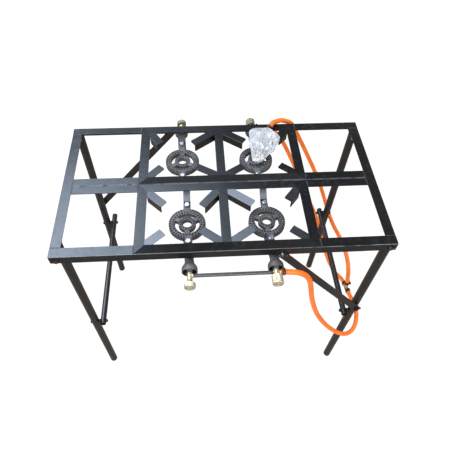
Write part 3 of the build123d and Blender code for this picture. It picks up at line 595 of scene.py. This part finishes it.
# Brass tee
def makeTee():
    stock = Stock()
    centre = Vector(teeCentre)
    arm = [(0, 0.002), (0.0052, 0.004), (0.0062, 0.0048), (0.0066, 0.0056), (0.0066, 0.0090)]
    arm += [(0.0060, 0.0096), (0.0060, 0.0120), (0.0064, 0.0124), (0.0060, 0.0152), (0.0056, 0.0159)]
    arm.append((0, 0.0159))
    for direction in (Vector(teeRun), -Vector(teeRun), Vector(teeBranch)):
        stock.turned(arm, centre, direction, 28)
    radius = 0.0079
    ball = [(radius * math.sin(math.pi * i / 14), -radius * math.cos(math.pi * i / 14)) for i in range(15)]
    stock.turned(ball, centre, teeRun, 28)
    tee = stock.piece("brassTee", "brass", "root", "brass")
    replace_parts(tee, "hose_tee")
    return tee


clamps = {name: makeClamps(name) for name in hoseRoutes}
tee = makeTee()
say("clamps and tee made")


# Burners, cast in two halves and bolted to bent strips
burnerLook = {
    "ring": (0.034, 0.051),
    "core": (0.013, 0.024),
    "height": 0.016,
    "outerPorts": {"count": 36, "radius": 0.0468, "long": 0.0044, "wide": 0.0038},
    "middlePorts": {"count": 30, "radius": 0.0392, "long": 0.0044, "wide": 0.0038},
    "corePorts": {"count": 16, "radius": 0.0187, "long": 0.0040, "wide": 0.0034},
    "portDepth": 0.0060,
    "webWidth": 0.0135,
    "lug": {"width": 0.019, "thick": 0.006},
    "nearLug": {"front": 0.064, "back": 0.070},
    "farLug": {"front": 0.061, "back": 0.067},
    "tube": 0.0115,
    "bell": {"start": 0.243, "mouth": 0.270, "radius": 0.021, "wall": 0.003},
}


# where a burner sits: its ring's centre and top, and the line of its mixing tube
def burnerPlace(cell):
    low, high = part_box("burner_" + cell)
    stemLow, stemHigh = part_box("valve_stem_" + cell)
    row = cell.split("_")[0]
    far = burnerLook["farLug"][row]
    reach = far + burnerLook["lug"]["width"] / 2
    centreY = high.y - reach if row == "front" else low.y + reach
    return {
        "centre": Vector(((low.x + high.x) / 2, centreY, high.z)),
        "mouthX": (stemLow.x + stemHigh.x) / 2,
        "tubeZ": (stemLow.z + stemHigh.z) / 2,
        "out": -1 if row == "front" else 1,
        "near": burnerLook["nearLug"][row],
        "far": far,
    }


def lugSpots(place):
    centre = place["centre"]
    mouthY = place["out"] * burnerLook["bell"]["mouth"]
    lean = (place["mouthX"] - centre.x) / abs(mouthY - centre.y)
    near = centre + Vector((lean * place["near"], place["out"] * place["near"], 0))
    far = centre - Vector((0, place["out"] * place["far"], 0))
    return near, far


# how deep the top is at this spot: ports are short slots that run outwards
def portDip(radius, angle, rows):
    deepest = 0.0
    for row in rows:
        pitch = 2 * math.pi / row["count"]
        offset = (angle / pitch) % 1.0 - 0.5
        along = (radius - row["radius"]) / (row["long"] / 2)
        sideways = offset * pitch * radius / (row["wide"] / 2)
        reach = math.sqrt(along ** 4 + sideways ** 4) ** 0.5
        deepest = max(deepest, min(1.0, max(0.0, (1.25 - reach) / 0.45)))
    return deepest * burnerLook["portDepth"]


def castRing(stock, centre, inner, outer, rows, steps):
    height = burnerLook["height"]
    middle = (inner + outer) / 2
    half = (outer - inner) / 2
    sides = [(outer - 0.0006, -height), (outer - 0.0001, -height + 0.0010), (outer, -height * 0.62)]
    sides += [(outer - 0.0004, -height * 0.59), (outer - 0.0005, -height * 0.56), (outer, -height * 0.52)]
    sides += [(outer, -0.0026), (outer - 0.0003, -0.0012), (outer - 0.0009, -0.0004)]
    crown = 26
    top = []
    for i in range(crown + 1):
        share = 1 - 2 * i / crown
        radius = middle + share * (half - 0.0014)
        top.append((radius, -0.0009 * share ** 4))
    inside = [(inner + 0.0009, -0.0004), (inner + 0.0002, -0.0014), (inner, -0.0028), (inner, -height * 0.94)]
    inside += [(inner + 0.0005, -height), (middle, -height)]

    def pitted(radius, distance, angle):
        onTop = distance > -0.0012 and inner + 0.001 < radius < outer - 0.001
        dip = portDip(radius, angle, rows) if onTop else 0.0
        rough = noise.noise(Vector((math.cos(angle) * radius, math.sin(angle) * radius, distance)) * 240)
        return radius + rough * 0.00018, rough * 0.00012 - dip

    stock.turned(sides + top + inside, centre, (0, 0, 1), steps, pitted, ring=True)


# a strip's outline from the origin along +Y, with a rounded far end
def roundEnd(width, length, steps=10):
    half = width / 2
    points = [(half, 0, 0), (half, length - half * 0.4, 0)]
    for i in range(1, steps):
        angle = math.pi * i / steps
        points.append((half * math.cos(angle), length + half * math.sin(angle) * 0.98, 0))
    points += [(-half, length - half * 0.4, 0), (-half, 0, 0)]
    return points


def makeBurner(cell):
    place = burnerPlace(cell)
    centre, out = place["centre"], place["out"]
    stock = Stock()
    rows = (burnerLook["outerPorts"], burnerLook["middlePorts"])
    castRing(stock, centre, *burnerLook["ring"], rows, 400)
    castRing(stock, centre, *burnerLook["core"], (burnerLook["corePorts"],), 200)

    # webs: one towards the mixing tube and two beyond the core
    height = burnerLook["height"]
    webFrom, webTo = burnerLook["core"][1] - 0.003, burnerLook["ring"][0] + 0.0035
    for turn in (-90, 30, 150):
        angle = math.radians(turn + (0 if out < 0 else 180))
        way = Vector((math.cos(angle), math.sin(angle), 0))
        middle = centre + way * (webFrom + webTo) / 2 - Vector((0, 0, height * 0.5 + 0.0006))
        size = (webTo - webFrom, burnerLook["webWidth"], height - 0.0016)
        stock.bar(middle, size, Matrix.Rotation(angle, 4, "Z"), 0.0022, 3)

    # lugs under the strips
    lug = burnerLook["lug"]
    near, far = lugSpots(place)
    for spot, sign in ((near, out), (far, -out)):
        length = abs(spot.y - centre.y) - burnerLook["ring"][0] - 0.006
        outline = [(x * sign, y * sign, z) for x, y, z in roundEnd(lug["width"], length)]
        base = Vector((spot.x, spot.y - sign * length, centre.z - lug["thick"]))
        stock.plate(outline, base, (0, 0, lug["thick"] - 0.0002), 0.0010)
        rib = Vector((spot.x, spot.y - sign * length * 0.5, centre.z - lug["thick"] - 0.0015))
        stock.bar(rib, (0.005, length * 0.8, 0.005), None, 0.0012)

    # mixing tube, bell and jet bridge
    bell = burnerLook["bell"]
    tubeStart = Vector((centre.x, centre.y + out * 0.0425, place["tubeZ"]))
    bellStart = Vector((place["mouthX"], out * bell["start"], place["tubeZ"]))
    run = bellStart - tubeStart
    radius = burnerLook["tube"]
    tube = [(0, -0.001), (radius - 0.002, -0.001), (radius, 0.002), (radius, run.length - 0.006)]
    tube += [(radius + 0.0012, run.length - 0.003), (radius + 0.0012, run.length), (0, run.length + 0.001)]
    stock.turned(tube, tubeStart, run, 32)
    seam = Matrix.Rotation(math.atan2(run.x, -run.y) if out < 0 else -math.atan2(run.x, run.y), 4, "Z")
    stock.bar((tubeStart + bellStart) / 2, (radius * 2 + 0.0016, run.length - 0.004, 0.0016), seam, 0.0005)
    flare, wide = bell["mouth"] - bell["start"], bell["radius"]
    wall = []
    flares = 12
    for i in range(flares + 1):
        share = i / flares
        swell = math.sin(min(1.0, share / 0.62) * math.pi / 2) ** 1.4
        wall.append((radius + 0.0015 + (wide - radius - 0.0015) * swell, flare * share))
    wall[-1] = (wide - 0.0006, flare)
    wall.insert(-1, (wide, flare - 0.0008))
    hollow = [(r - bell["wall"], d) for r, d in reversed(wall[2:-2])]
    lip = [(wide - bell["wall"] + 0.0004, flare), (wide - bell["wall"], flare - 0.0006)]
    profile = [(0, 0.0)] + wall + lip + hollow + [(0.0087, flare * 0.16), (0.0075, 0.002), (0, 0.002)]
    stock.turned(profile, bellStart, (0, out, 0), 48)
    mouth = Vector((place["mouthX"], out * (bell["mouth"] - 0.0026), place["tubeZ"]))
    stock.bar(mouth, (0.013, 0.005, wide * 2 - 0.003), None, 0.0012, 3)
    boss = [(0.0052, 0), (0.0078, 0), (0.0086, 0.0008), (0.0086, 0.0044), (0.0080, 0.0051), (0.0052, 0.0051)]
    stock.turned(boss, mouth - Vector((0, out * 0.0025, 0)), (0, out, 0), 32, ring=True)
    burner = stock.piece("burner" + inCamels(cell), "iron", "root", "cast_iron", 40)
    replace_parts(burner, "burner_" + cell)


for cell in cells:
    makeBurner(cell)
say("burners cast")


# Bolts with Geometry Nodes: one head, set on every spot
def nodeTree(name, inputs):
    tree = bpy.data.node_groups.new(name, "GeometryNodeTree")
    tree.interface.new_socket("Geometry", in_out="INPUT", socket_type="NodeSocketGeometry")
    for title, kind in inputs:
        tree.interface.new_socket(title, in_out="INPUT", socket_type="NodeSocket" + kind)
    tree.interface.new_socket("Geometry", in_out="OUTPUT", socket_type="NodeSocketGeometry")
    return tree


def addNode(tree, kind, values=None, **settings):
    made = tree.nodes.new(kind)
    for key, value in settings.items():
        setattr(made, key, value)
    for key, value in (values or {}).items():
        if isinstance(value, bpy.types.NodeSocket):
            tree.links.new(value, made.inputs[key])
        else:
            made.inputs[key].default_value = value
    return made


def times(tree, value, factor):
    return addNode(tree, "ShaderNodeMath", {0: value, 1: factor}, operation="MULTIPLY").outputs[0]


def closeTree(tree, geometry, finish):
    real = addNode(tree, "GeometryNodeRealizeInstances", {0: geometry})
    painted = addNode(tree, "GeometryNodeSetMaterial", {0: real.outputs[0], "Material": finishes[finish]})
    end = tree.nodes.new("NodeGroupOutput")
    tree.links.new(painted.outputs[0], end.inputs[0])


# runs a node tree on points and edges and keeps the result as a plain mesh
def grown(name, tree, points, edges, settings, finish, body, crease=38, aims=None):
    seed = bpy.data.meshes.new(name + "Seed")
    seed.from_pydata(points, edges, [])
    if aims:
        layer = seed.attributes.new("aim", "FLOAT_VECTOR", "POINT")
        for item, aim in zip(layer.data, aims):
            item.vector = aim
    holder = added(name + "Seed", seed)
    modifier = holder.modifiers.new("grow", "NODES")
    modifier.node_group = tree
    for item in tree.interface.items_tree:
        if item.item_type == "SOCKET" and item.in_out == "INPUT" and item.name in settings:
            modifier[item.identifier] = settings[item.name]
    bpy.context.view_layer.update()
    ready = holder.evaluated_get(bpy.context.evaluated_depsgraph_get())
    data = bpy.data.meshes.new_from_object(ready)
    bpy.data.objects.remove(holder)
    data.name = name
    return dress(added(name, data), finish, body, crease)


# a turned-down hexagon head on a washer face, set along each point's aim
def hexHeadTree(finish):
    inputs = [(title, "Float") for title in ("Flats", "Head height", "Shank", "Reach")]
    tree = nodeTree("hexHeads", inputs)
    given = tree.nodes.new("NodeGroupInput").outputs
    corner = times(tree, given["Flats"], 0.57735)
    half = times(tree, given["Flats"], 0.485)
    body = times(tree, given["Head height"], 0.84)
    crown = times(tree, given["Head height"], 0.16)
    under = times(tree, given["Head height"], 0.5)
    downwards = times(tree, given["Reach"], -1.0)

    def solid(radius, top, depth, sides, height):
        values = {"Vertices": sides, "Radius Bottom": radius, "Radius Top": top, "Depth": depth}
        cone = addNode(tree, "GeometryNodeMeshCone", values)
        offset = addNode(tree, "ShaderNodeCombineXYZ", {2: height})
        return addNode(tree, "GeometryNodeTransform", {0: cone.outputs[0], "Translation": offset.outputs[0]})

    parts = [
        solid(corner, corner, body, 6, 0.0),
        solid(corner, half, crown, 6, body),
        solid(half, half, under, 28, 0.0),
        solid(given["Shank"], given["Shank"], given["Reach"], 24, downwards),
    ]
    joined = tree.nodes.new("GeometryNodeJoinGeometry")
    for part in parts:
        tree.links.new(part.outputs[0], joined.inputs[0])
    aim = addNode(tree, "GeometryNodeInputNamedAttribute", {"Name": "aim"}, data_type="FLOAT_VECTOR")
    turn = addNode(tree, "FunctionNodeAlignRotationToVector", {"Vector": aim.outputs[0]}, axis="Z")
    cloud = addNode(tree, "GeometryNodeMeshToPoints", {0: given["Geometry"]})
    values = {"Points": cloud.outputs[0], "Instance": joined.outputs[0], "Rotation": turn.outputs[0]}
    placed = addNode(tree, "GeometryNodeInstanceOnPoints", values)
    closeTree(tree, placed.outputs[0], finish)
    return tree


boltLook = {"Flats": 0.013, "Head height": 0.0052, "Shank": 0.004, "Reach": 0.0065}
stripThick = 0.003


def makeBracketBolts():
    spots = [spot for cell in cells for spot in lugSpots(burnerPlace(cell))]
    heads = [tuple(spot + Vector((0, 0, stripThick))) for spot in spots]
    aims = [(0, 0, 1)] * len(heads)
    tree = hexHeadTree("zinc")
    bolts = grown("bracketBolts", tree, heads, [], boltLook, "zinc", "root", 30, aims)
    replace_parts(bolts, "bracket_bolts")


makeBracketBolts()
say("bolts set")


# Weld beads with Geometry Nodes: ripples along each seam
weldLook = {
    "seams": {"Bead": 0.0042, "Pitch": 0.0013, "Proud": 0.0007},
    "tacks": {"Bead": 0.0060, "Pitch": 0.0015, "Proud": 0.0013},
    "tackPlaces": (-0.395, -0.330, -0.262, -0.170, -0.060, 0.0, 0.066, 0.170, 0.300, 0.385),
    "tackLength": 0.010,
}


def weldTree():
    tree = nodeTree("weldRipples", [("Bead", "Float"), ("Pitch", "Float"), ("Proud", "Float")])
    given = tree.nodes.new("NodeGroupInput").outputs
    curve = addNode(tree, "GeometryNodeMeshToCurve", {0: given["Geometry"]})
    values = {0: curve.outputs[0], "Length": given["Pitch"]}
    evened = addNode(tree, "GeometryNodeResampleCurve", values, mode="LENGTH")
    drop = addNode(tree, "GeometryNodeMeshUVSphere", {"Segments": 10, "Rings": 7, "Radius": 1.0})
    tangent = tree.nodes.new("GeometryNodeInputTangent")
    turn = addNode(tree, "FunctionNodeAlignRotationToVector", {"Vector": tangent.outputs[0]}, axis="X")
    longer = times(tree, given["Pitch"], 1.15)
    half = times(tree, given["Bead"], 0.5)
    size = addNode(tree, "ShaderNodeCombineXYZ", {0: longer, 1: half, 2: given["Proud"]})
    values = {"Min": (0.8, 0.75, 0.7), "Max": (1.15, 1.2, 1.15), "Seed": 5}
    jitter = addNode(tree, "FunctionNodeRandomValue", values, data_type="FLOAT_VECTOR")
    values = {0: size.outputs[0], 1: jitter.outputs[0]}
    scaled = addNode(tree, "ShaderNodeVectorMath", values, operation="MULTIPLY")
    values = {"Points": evened.outputs[0], "Instance": drop.outputs[0], "Rotation": turn.outputs[0],
              "Scale": scaled.outputs[0]}
    placed = addNode(tree, "GeometryNodeInstanceOnPoints", values)
    closeTree(tree, placed.outputs[0], "weld")
    return tree


# top seams and outside seams of the welded frame, as pairs of points
def weldSeams():
    skin = topZ - 0.0001
    low = topZ - flange + 0.002
    seams = []

    def inwards(x, start, end):
        seams.append([(x, start, skin), (x, end, skin)])

    for x in (bayLeft, bayRight):
        for y, inward in ((frontY, 1), (backY, -1)):
            if x * inward < 0:  # the other two are ground flush, where a brace swings past
                seams.append([(x, y - inward * 0.0001, low), (x, y - inward * 0.0001, topZ - 0.0015)])
            inwards(x, y + inward * 0.003, y + inward * (flange - 0.002))
        inwards(x, midY - flange + 0.004, midY - 0.006)
        inwards(x, midY + 0.006, midY + flange - 0.004)
    for x, inward in ((leftX, 1), (rightX, -1)):
        edge = x + inward * flange
        for y in (frontY + flange, backY - flange):
            seams.append([(x + inward * 0.002, y, skin), (edge - inward * 0.003, y, skin)])
        inwards(edge, midY - flange + 0.003, midY + flange - 0.003)
    return seams


# short tacks along the back-to-back rails
def weldTacks():
    half = weldLook["tackLength"] / 2
    level = topZ - 0.0004
    return [[(x - half, midY, level), (x + half, midY, level)] for x in weldLook["tackPlaces"]]


def makeWelds():
    for name, runs, settings in (
        ("weldSeams", weldSeams(), weldLook["seams"]),
        ("weldTacks", weldTacks(), weldLook["tacks"]),
    ):
        points = [point for run in runs for point in run]
        edges = [(i, i + 1) for i in range(0, len(points), 2)]
        grown(name, weldTree(), points, edges, settings, "weld", "root", 60)


makeWelds()
say("welds run")


# Gas valves, jets and glands, turned in brass: distances run outwards from the stove's middle
valveLook = {"start": 0.272, "end": 0.292, "port": 0.280, "portReach": 0.009, "gland": 0.3027}


def makeValves():
    bodies, jets, glands, barbs = Stock(), Stock(), Stock(), Stock()
    for cell in cells:
        place = burnerPlace(cell)
        out, z, x = place["out"], place["tubeZ"], place["mouthX"]
        axis = Vector((0, out, 0))
        start, end, gland = valveLook["start"], valveLook["end"], valveLook["gland"]

        def onLine(distance):
            return Vector((x, out * distance, z))

        jet = [(0, 0.256), (0.0016, 0.256), (0.0030, 0.2585), (0.0046, 0.2595), (0.0046, 0.262)]
        jet += [(0.0040, 0.2624), (0.0050, 0.2640), (0.0050, 0.2700), (0.0060, 0.2706)]
        jet += [(0.0060, start), (0, start)]
        jets.turned(jet, onLine(0), axis, 26)
        jets.hexagon(onLine(0.2662), axis, 0.0100, 0.0030)

        body = [(0, start), (0.0066, start), (0.0070, 0.2724), (0.0070, 0.2752), (0.0062, 0.2756)]
        body += [(0.0062, 0.2770), (0.0070, 0.2776), (0.0072, 0.2800), (0.0070, 0.2842), (0.0060, 0.2850)]
        body += [(0.0060, 0.2862), (0.0070, 0.2868), (0.0070, 0.2914), (0.0066, end), (0, end)]
        bodies.turned(body, onLine(0), axis, 32)
        ways = (-1, 1) if "right" in cell else (1,)
        arm = [(0, 0.002), (0.0056, 0.004), (0.0056, 0.0066), (0.0060, 0.0070), (0.0060, 0.0085)]
        arm += [(0.0057, 0.0090), (0, 0.0090)]
        for way in ways:
            bodies.turned(arm, onLine(valveLook["port"]), (way, 0, 0), 28)

        glands.hexagon(onLine(end), axis, 0.0130, 0.0048, 0.3)
        cap = [(0.0031, 0.2968), (0.0058, 0.2968), (0.0060, 0.2972), (0.0060, 0.3004), (0.0052, 0.3022)]
        cap += [(0.0046, gland), (0.0031, gland)]
        glands.turned(cap, onLine(0), axis, 28, ring=True)

        if "right" in cell:
            inlet = onLine(valveLook["port"]) + Vector((valveLook["portReach"], 0, 0))
            nipple = [(0, 0), (0.0065, 0), (0.0065, 0.0010), (0.0058, 0.0013), (0.0058, 0.0018)]
            nipple += [(0.0064, 0.0021), (0.0060, 0.0030), (0, 0.0030)]
            barbs.turned(nipple, inlet, (1, 0, 0), 28)
    for stock, name, node in (
        (bodies, "valveBodies", "valve_bodies"), (jets, "gasJets", "gas_jets"),
        (glands, "glandNuts", "packing_nuts"), (barbs, "hoseBarbs", "hose_barbs"),
    ):
        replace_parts(stock.piece(name, "brass", "root", "brass", 30), node)


makeValves()


# Knobs: ribbed caps, two with a long skirt
knobLook = {
    "radius": 0.0149, "head": 0.013, "end": 0.316,
    "ribs": 28, "rib": 0.0007,
    "skirt": 0.013, "wall": 0.0035,
}


def makeKnob(cell):
    place = burnerPlace(cell)
    out = place["out"]
    radius, end = knobLook["radius"], knobLook["end"]
    start = end - knobLook["head"]
    skirt = knobLook["skirt"] if "right" in cell else 0.0
    foot = start - skirt

    def ribbed(r, distance, angle):
        onSide = r > radius - 0.0009 and foot + 0.0012 < distance < end - 0.0022
        wave = 0.5 - 0.5 * math.cos(angle * knobLook["ribs"])
        return (r - knobLook["rib"] * wave ** 1.5 if onSide else r), 0.0

    rim = [(0.0018, 0.0002), (0.0034, 0), (0.0046, 0.0002), (0.0056, 0.0011), (0.0075, 0.0014)]
    dish = [(0.0045, 0.0013), (0.0038, 0.0006), (0.0030, 0.0004), (0, 0.0004)]
    face = [(radius - inset, end - dip) for inset, dip in rim] + [(r, end - dip) for r, dip in dish]
    side = [(radius - 0.0006, foot), (radius, foot + 0.0008)]
    rows = 8
    for i in range(rows + 1):
        side.append((radius, foot + 0.0014 + (end - foot - 0.0040) * i / rows))
    side += [(radius - 0.0002, end - 0.0016), (radius - 0.0008, end - 0.0007)]
    inner = [(0, start)]
    if skirt:
        bore = radius - knobLook["wall"]
        inner += [(bore - 0.0004, start), (bore, start - 0.0006)]
        inner += [(bore, foot + 0.0006), (bore + 0.0005, foot)]
    else:
        inner += [(0.0060, start), (0.0062, start - 0.0001)]
    stock = Stock()
    stock.turned(inner + side + face, Vector((place["mouthX"], 0, place["tubeZ"])), (0, out, 0), 168, ribbed)
    # the back knobs take the darker copy of the knob brass
    finish = "knob" if "front" in cell else "backKnob"
    knob = stock.piece("knob" + inCamels(cell), finish, "knob_" + cell + "_body", "knob_plastic", 34)
    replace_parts(knob, "knob_" + cell)


for cell in cells:
    makeKnob(cell)
say("valves and knobs turned")


# Wing nuts on the brace pivots
wingLook = {"offset": 0.0078, "wing": 0.0052, "thick": 0.0024, "corners": 22}


def makeWingNuts():
    stock = Stock()
    for side, sign in (("front", -1), ("back", 1)):
        low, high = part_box("brace_" + side)
        spots = [v.co for v in nodes["wing_nuts"].data.vertices if v.co.y * sign > 0]
        x, z = ((min(s[i] for s in spots) + max(s[i] for s in spots)) / 2 for i in (0, 2))
        face = (low.y if sign < 0 else high.y) + sign * 0.0003
        hub = [(0.0041, 0), (0.0064, 0), (0.0066, 0.0006), (0.0056, 0.0068), (0.0050, 0.0074)]
        hub.append((0.0041, 0.0074))
        stock.turned(hub, Vector((x, face, z)), (0, sign, 0), 26, ring=True)
        for way in (-1, 1):
            outline = []
            for i in range(wingLook["corners"]):
                angle = 2 * math.pi * i / wingLook["corners"]
                reach = wingLook["wing"] + 0.0008 * math.cos(angle)
                aside = way * (wingLook["offset"] + reach * math.cos(angle) * 0.95)
                outline.append((aside, sign * (wingLook["offset"] + wingLook["wing"] * math.sin(angle)), 0))
            thick = wingLook["thick"]
            stock.plate(outline, Vector((x, face, z - thick / 2)), (0, 0, thick), 0.0007)
    wings = stock.piece("wingNuts", "oiledSteel", "root", "zinc_steel", 40)
    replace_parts(wings, "wing_nuts")


makeWingNuts()


# The clear bag, drawn in round the hose and twisted shut at its tail
bagLook = {"around": 180, "along": 100, "crumple": 0.0052, "fine": 0.0016, "pleats": 17, "pleat": 0.0011}


def bagSections():
    axis = Vector(regulatorAxis).normalized()
    mouth = Vector(regulatorOutlet)
    centre = Vector(regulatorCentre)
    left = Vector((-1, 0, 0))
    return [
        (mouth - axis * 0.001, 0.0086, 0.0086),
        (mouth + axis * 0.004 + left * 0.002, 0.0230, 0.0110),
        (mouth + axis * 0.013 + left * 0.005, 0.0440, 0.0160),
        (centre - axis * 0.030 + left * 0.006, 0.0485, 0.0215),
        (centre - axis * 0.008 + left * 0.003, 0.0445, 0.0240),
        (centre + axis * 0.014, 0.0395, 0.0240),
        (centre + axis * 0.034, 0.0275, 0.0215),
        (Vector((0.1155, 0.100, topZ - 0.0175)), 0.0150, 0.0165),
        (Vector((0.1120, 0.091, topZ - 0.0205)), 0.0070, 0.0070),
    ]


# a smooth curve through evenly spaced values
def smoothStep(values, share):
    spot = share * (len(values) - 1)
    i = min(int(spot), len(values) - 2)
    t = spot - i
    a, b, c, d = (values[max(0, min(len(values) - 1, i + k))] for k in (-1, 0, 1, 2))
    bend = (a * 2 - b * 5 + c * 4 - d) * (t * t / 2)
    return b + (c - a) * (t / 2) + bend + (b * 3 - a - c * 3 + d) * (t ** 3 / 2)


def makeBag():
    sections = bagSections()
    axis = Vector(regulatorAxis).normalized()
    across = Vector((-axis.y, axis.x, 0)).normalized()
    up = across.cross(axis)
    if up.z < 0:
        up = -up
    stock = Stock()
    rows = []
    count, steps = bagLook["around"], bagLook["along"]
    for i in range(steps + 1):
        share = i / steps
        middle, wide, high = (smoothStep([s[k] for s in sections], share) for k in range(3))
        loose = min(1.0, share / 0.12, (1 - share) / 0.12)
        row = []
        for j in range(count):
            angle = 2 * math.pi * j / count
            out = across * math.cos(angle) * wide + up * math.sin(angle) * high
            spot = middle + out
            way = out.normalized()
            rim = Vector((math.cos(angle), math.sin(angle), 0))
            big = abs(noise.noise(rim * 2.3 + Vector((3, 1, share * 2.4))))
            big += 0.7 * abs(noise.noise(rim * 5.2 + Vector((8, 2, share * 5.0))))
            tiny = abs(noise.noise(rim * 11 + Vector((1, 6, share * 5)))) + 0.2 * noise.noise(spot * 330)
            pleat = math.cos(angle * bagLook["pleats"] + 2.5 * noise.noise(spot * 30))
            gather = max(0.0, 1 - share / 0.22) + max(0.0, 1 - (1 - share) / 0.20)
            lift = loose * (bagLook["crumple"] * (0.35 - big * 1.5) + bagLook["fine"] * (0.3 - tiny))
            lift += bagLook["pleat"] * pleat * gather * loose
            row.append(stock.mesh.verts.new(spot + way * lift))
        rows.append(row)
    ends = [sum((v.co for v in row), Vector()) / count for row in (rows[0], rows[-1])]
    root, tip = ([stock.mesh.verts.new(end)] for end in ends)
    stock.join([root, *rows, tip])
    bag = stock.piece("plasticBag", "film", "root", "bag_film", 22)
    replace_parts(bag, "plastic_bag")
    return bag


bag = makeBag()
say("bag crumpled")


# Finishes of the pieces that stay as the frame gives them
def dressNodes():
    enamel = [n for n in nodes if "rail" in n or "cross_bars" in n or "pan_supports" in n]
    groups = {
        "enamel": enamel,
        "stripSheenEnamel": ["burner_brackets"],
        "frontEnamel": ["front_rail_centre"],
        "edgeEnamel": ["front_rail_left", "front_rail_right"],
        "seamEnamel": ["mid_rails_left", "mid_rails_right"],
        "midEnamel": ["mid_rails_centre"],
        "crossEnamel": ["cross_bars_left"],
        "armEnamel": ["pan_supports_front_left"],
        "rightArmEnamel": ["pan_supports_front_right"],
        "legEnamel": [n for n in nodes if n.startswith(("leg_front", "leg_back", "stretcher", "brace"))],
        "pipeEnamel": ["manifold_front", "manifold_back"],
        "zinc": ["frame_nuts"],
        "oiledSteel": ["frame_bolts", "leg_spacers"],
        "blackSteel": ["leg_bolts_left", "leg_bolts_right"],
        "brass": [n for n in nodes if n.startswith("valve_stem")] + ["regulator_wing_nut"],
        "dieCast": ["regulator_body"],
    }
    for finish, names in groups.items():
        for name in names:
            nodes[name].data.materials.clear()
            nodes[name].data.materials.append(finishes[finish])


dressNodes()
say("frame painted")


# Studio
studio = {
    "white": 1.07, "fill": 1.40, "shine": 0.42,
    "floor": {"half": 6, "drop": 0.0005, "plain": (0.86, 0.86, 0.86, 1), "whiteShare": 0.86,
              "shine": (0.50, 0.44, 0.40, 1), "shineStrength": 0.7},
    "keyLamp": {"place": (-1.1, -0.4, 2.6), "aim": (0, 0, 0.6), "size": (1.4, 1.4), "power": 30},
    "overheadCard": {
        "corners": [(-2.2, 0.2, 2.3), (1.2, 0.2, 2.3), (1.2, 2.2, 2.3), (-2.2, 2.2, 2.3)],
        "colour": (0.70, 0.84, 1.05), "strength": 12.0, "sideFade": (-0.95, 0.45), "farFade": (0.90, 1.90),
    },
    "frontCard": {
        "corners": [(-1.8, -2.6, 1.4), (1.8, -2.6, 1.4), (1.8, -2.6, 3.0), (-1.8, -2.6, 3.0)],
        "colour": (0.95, 0.97, 1.0), "strength": 7.0,
    },
}


# 1 for the listed kinds of ray and 0 for the others
def seenBy(finish, *rays):
    paths = finish.tree.nodes.new("ShaderNodeLightPath")
    total = None
    for ray in rays:
        wire = Wire(finish, paths.outputs[ray])
        total = wire if total is None else total.maths("MAXIMUM", wire)
    return total


def flatSheet(name, corners, material):
    data = bpy.data.meshes.new(name)
    data.from_pydata(corners, [], [(0, 1, 2, 3)])
    data.materials.append(material)
    return added(name, data)


def makeFloor():
    f = Finish("studioFloor")
    look = studio["floor"]
    plain = f.node("ShaderNodeBsdfDiffuse", None, {"Color": look["plain"]})
    white = f.node("ShaderNodeEmission", None, {"Color": (1, 1, 1, 1), "Strength": studio["white"]})
    values = {"Color": look["shine"], "Strength": look["shineStrength"]}
    dim = f.node("ShaderNodeEmission", None, values)
    camera = seenBy(f, "Is Camera Ray", "Is Transmission Ray")
    shine = seenBy(f, "Is Glossy Ray")
    first = f.node("ShaderNodeMixShader", None, {0: camera * look["whiteShare"], 1: plain, 2: white})
    second = f.node("ShaderNodeMixShader", None, {0: shine, 1: first, 2: dim})
    f.node("ShaderNodeOutputMaterial", None, {"Surface": second})
    half = look["half"]
    corners = [(-half, -half, 0), (half, -half, 0), (half, half, 0), (-half, half, 0)]
    floor = flatSheet("studioFloor", corners, f.material)
    floor.location.z = -look["drop"]


def makeWorld():
    world = bpy.data.worlds.new("studioWorld")
    world.use_nodes = True
    tree = world.node_tree
    tree.nodes.clear()
    rays = tree.nodes.new("ShaderNodeLightPath").outputs
    values = {0: rays["Is Camera Ray"], 1: rays["Is Transmission Ray"]}
    seen = addNode(tree, "ShaderNodeMath", values, operation="MAXIMUM").outputs[0]
    values = {"Value": seen, "To Min": studio["fill"], "To Max": studio["white"]}
    level = addNode(tree, "ShaderNodeMapRange", values).outputs[0]
    values = {"Value": rays["Is Glossy Ray"], "To Min": level, "To Max": studio["shine"]}
    shine = addNode(tree, "ShaderNodeMapRange", values).outputs[0]
    background = addNode(tree, "ShaderNodeBackground", {"Strength": shine})
    addNode(tree, "ShaderNodeOutputWorld", {"Surface": background.outputs[0]})
    scene.world = world


def makeLamp(name):
    look = studio[name]
    data = bpy.data.lights.new(name, "AREA")
    data.shape = "RECTANGLE"
    data.size, data.size_y = look["size"]
    data.energy = look["power"]
    lamp = added(name, data)
    lamp.location = look["place"]
    lamp.rotation_euler = (Vector(look["aim"]) - lamp.location).to_track_quat("-Z", "Y").to_euler()


# A card is a flat light that only the shine of the metal sees
def makeCard(name, fade):
    f = Finish(name)
    values = {"Color": (*studio[name]["colour"], 1), "Strength": fade(f, studio[name])}
    light = f.node("ShaderNodeEmission", None, values)
    f.node("ShaderNodeOutputMaterial", None, {"Surface": light})
    card = flatSheet(name, studio[name]["corners"], f.material)
    card.visible_camera = False
    card.visible_diffuse = False
    card.visible_shadow = False
    card.visible_transmission = False


def leftFade(f, look):
    x, y = f.sides()[:2]
    right = 1 - f.step(x, *look["sideFade"])
    far = 1 - f.step(y, *look["farFade"])
    return right * far * look["strength"]


def evenFade(f, look):
    return f.cloud(0.5, 0) * 2 * look["strength"]


makeFloor()
makeWorld()
makeLamp("keyLamp")
makeCard("overheadCard", leftFade)
makeCard("frontCard", evenFade)
say("studio set")
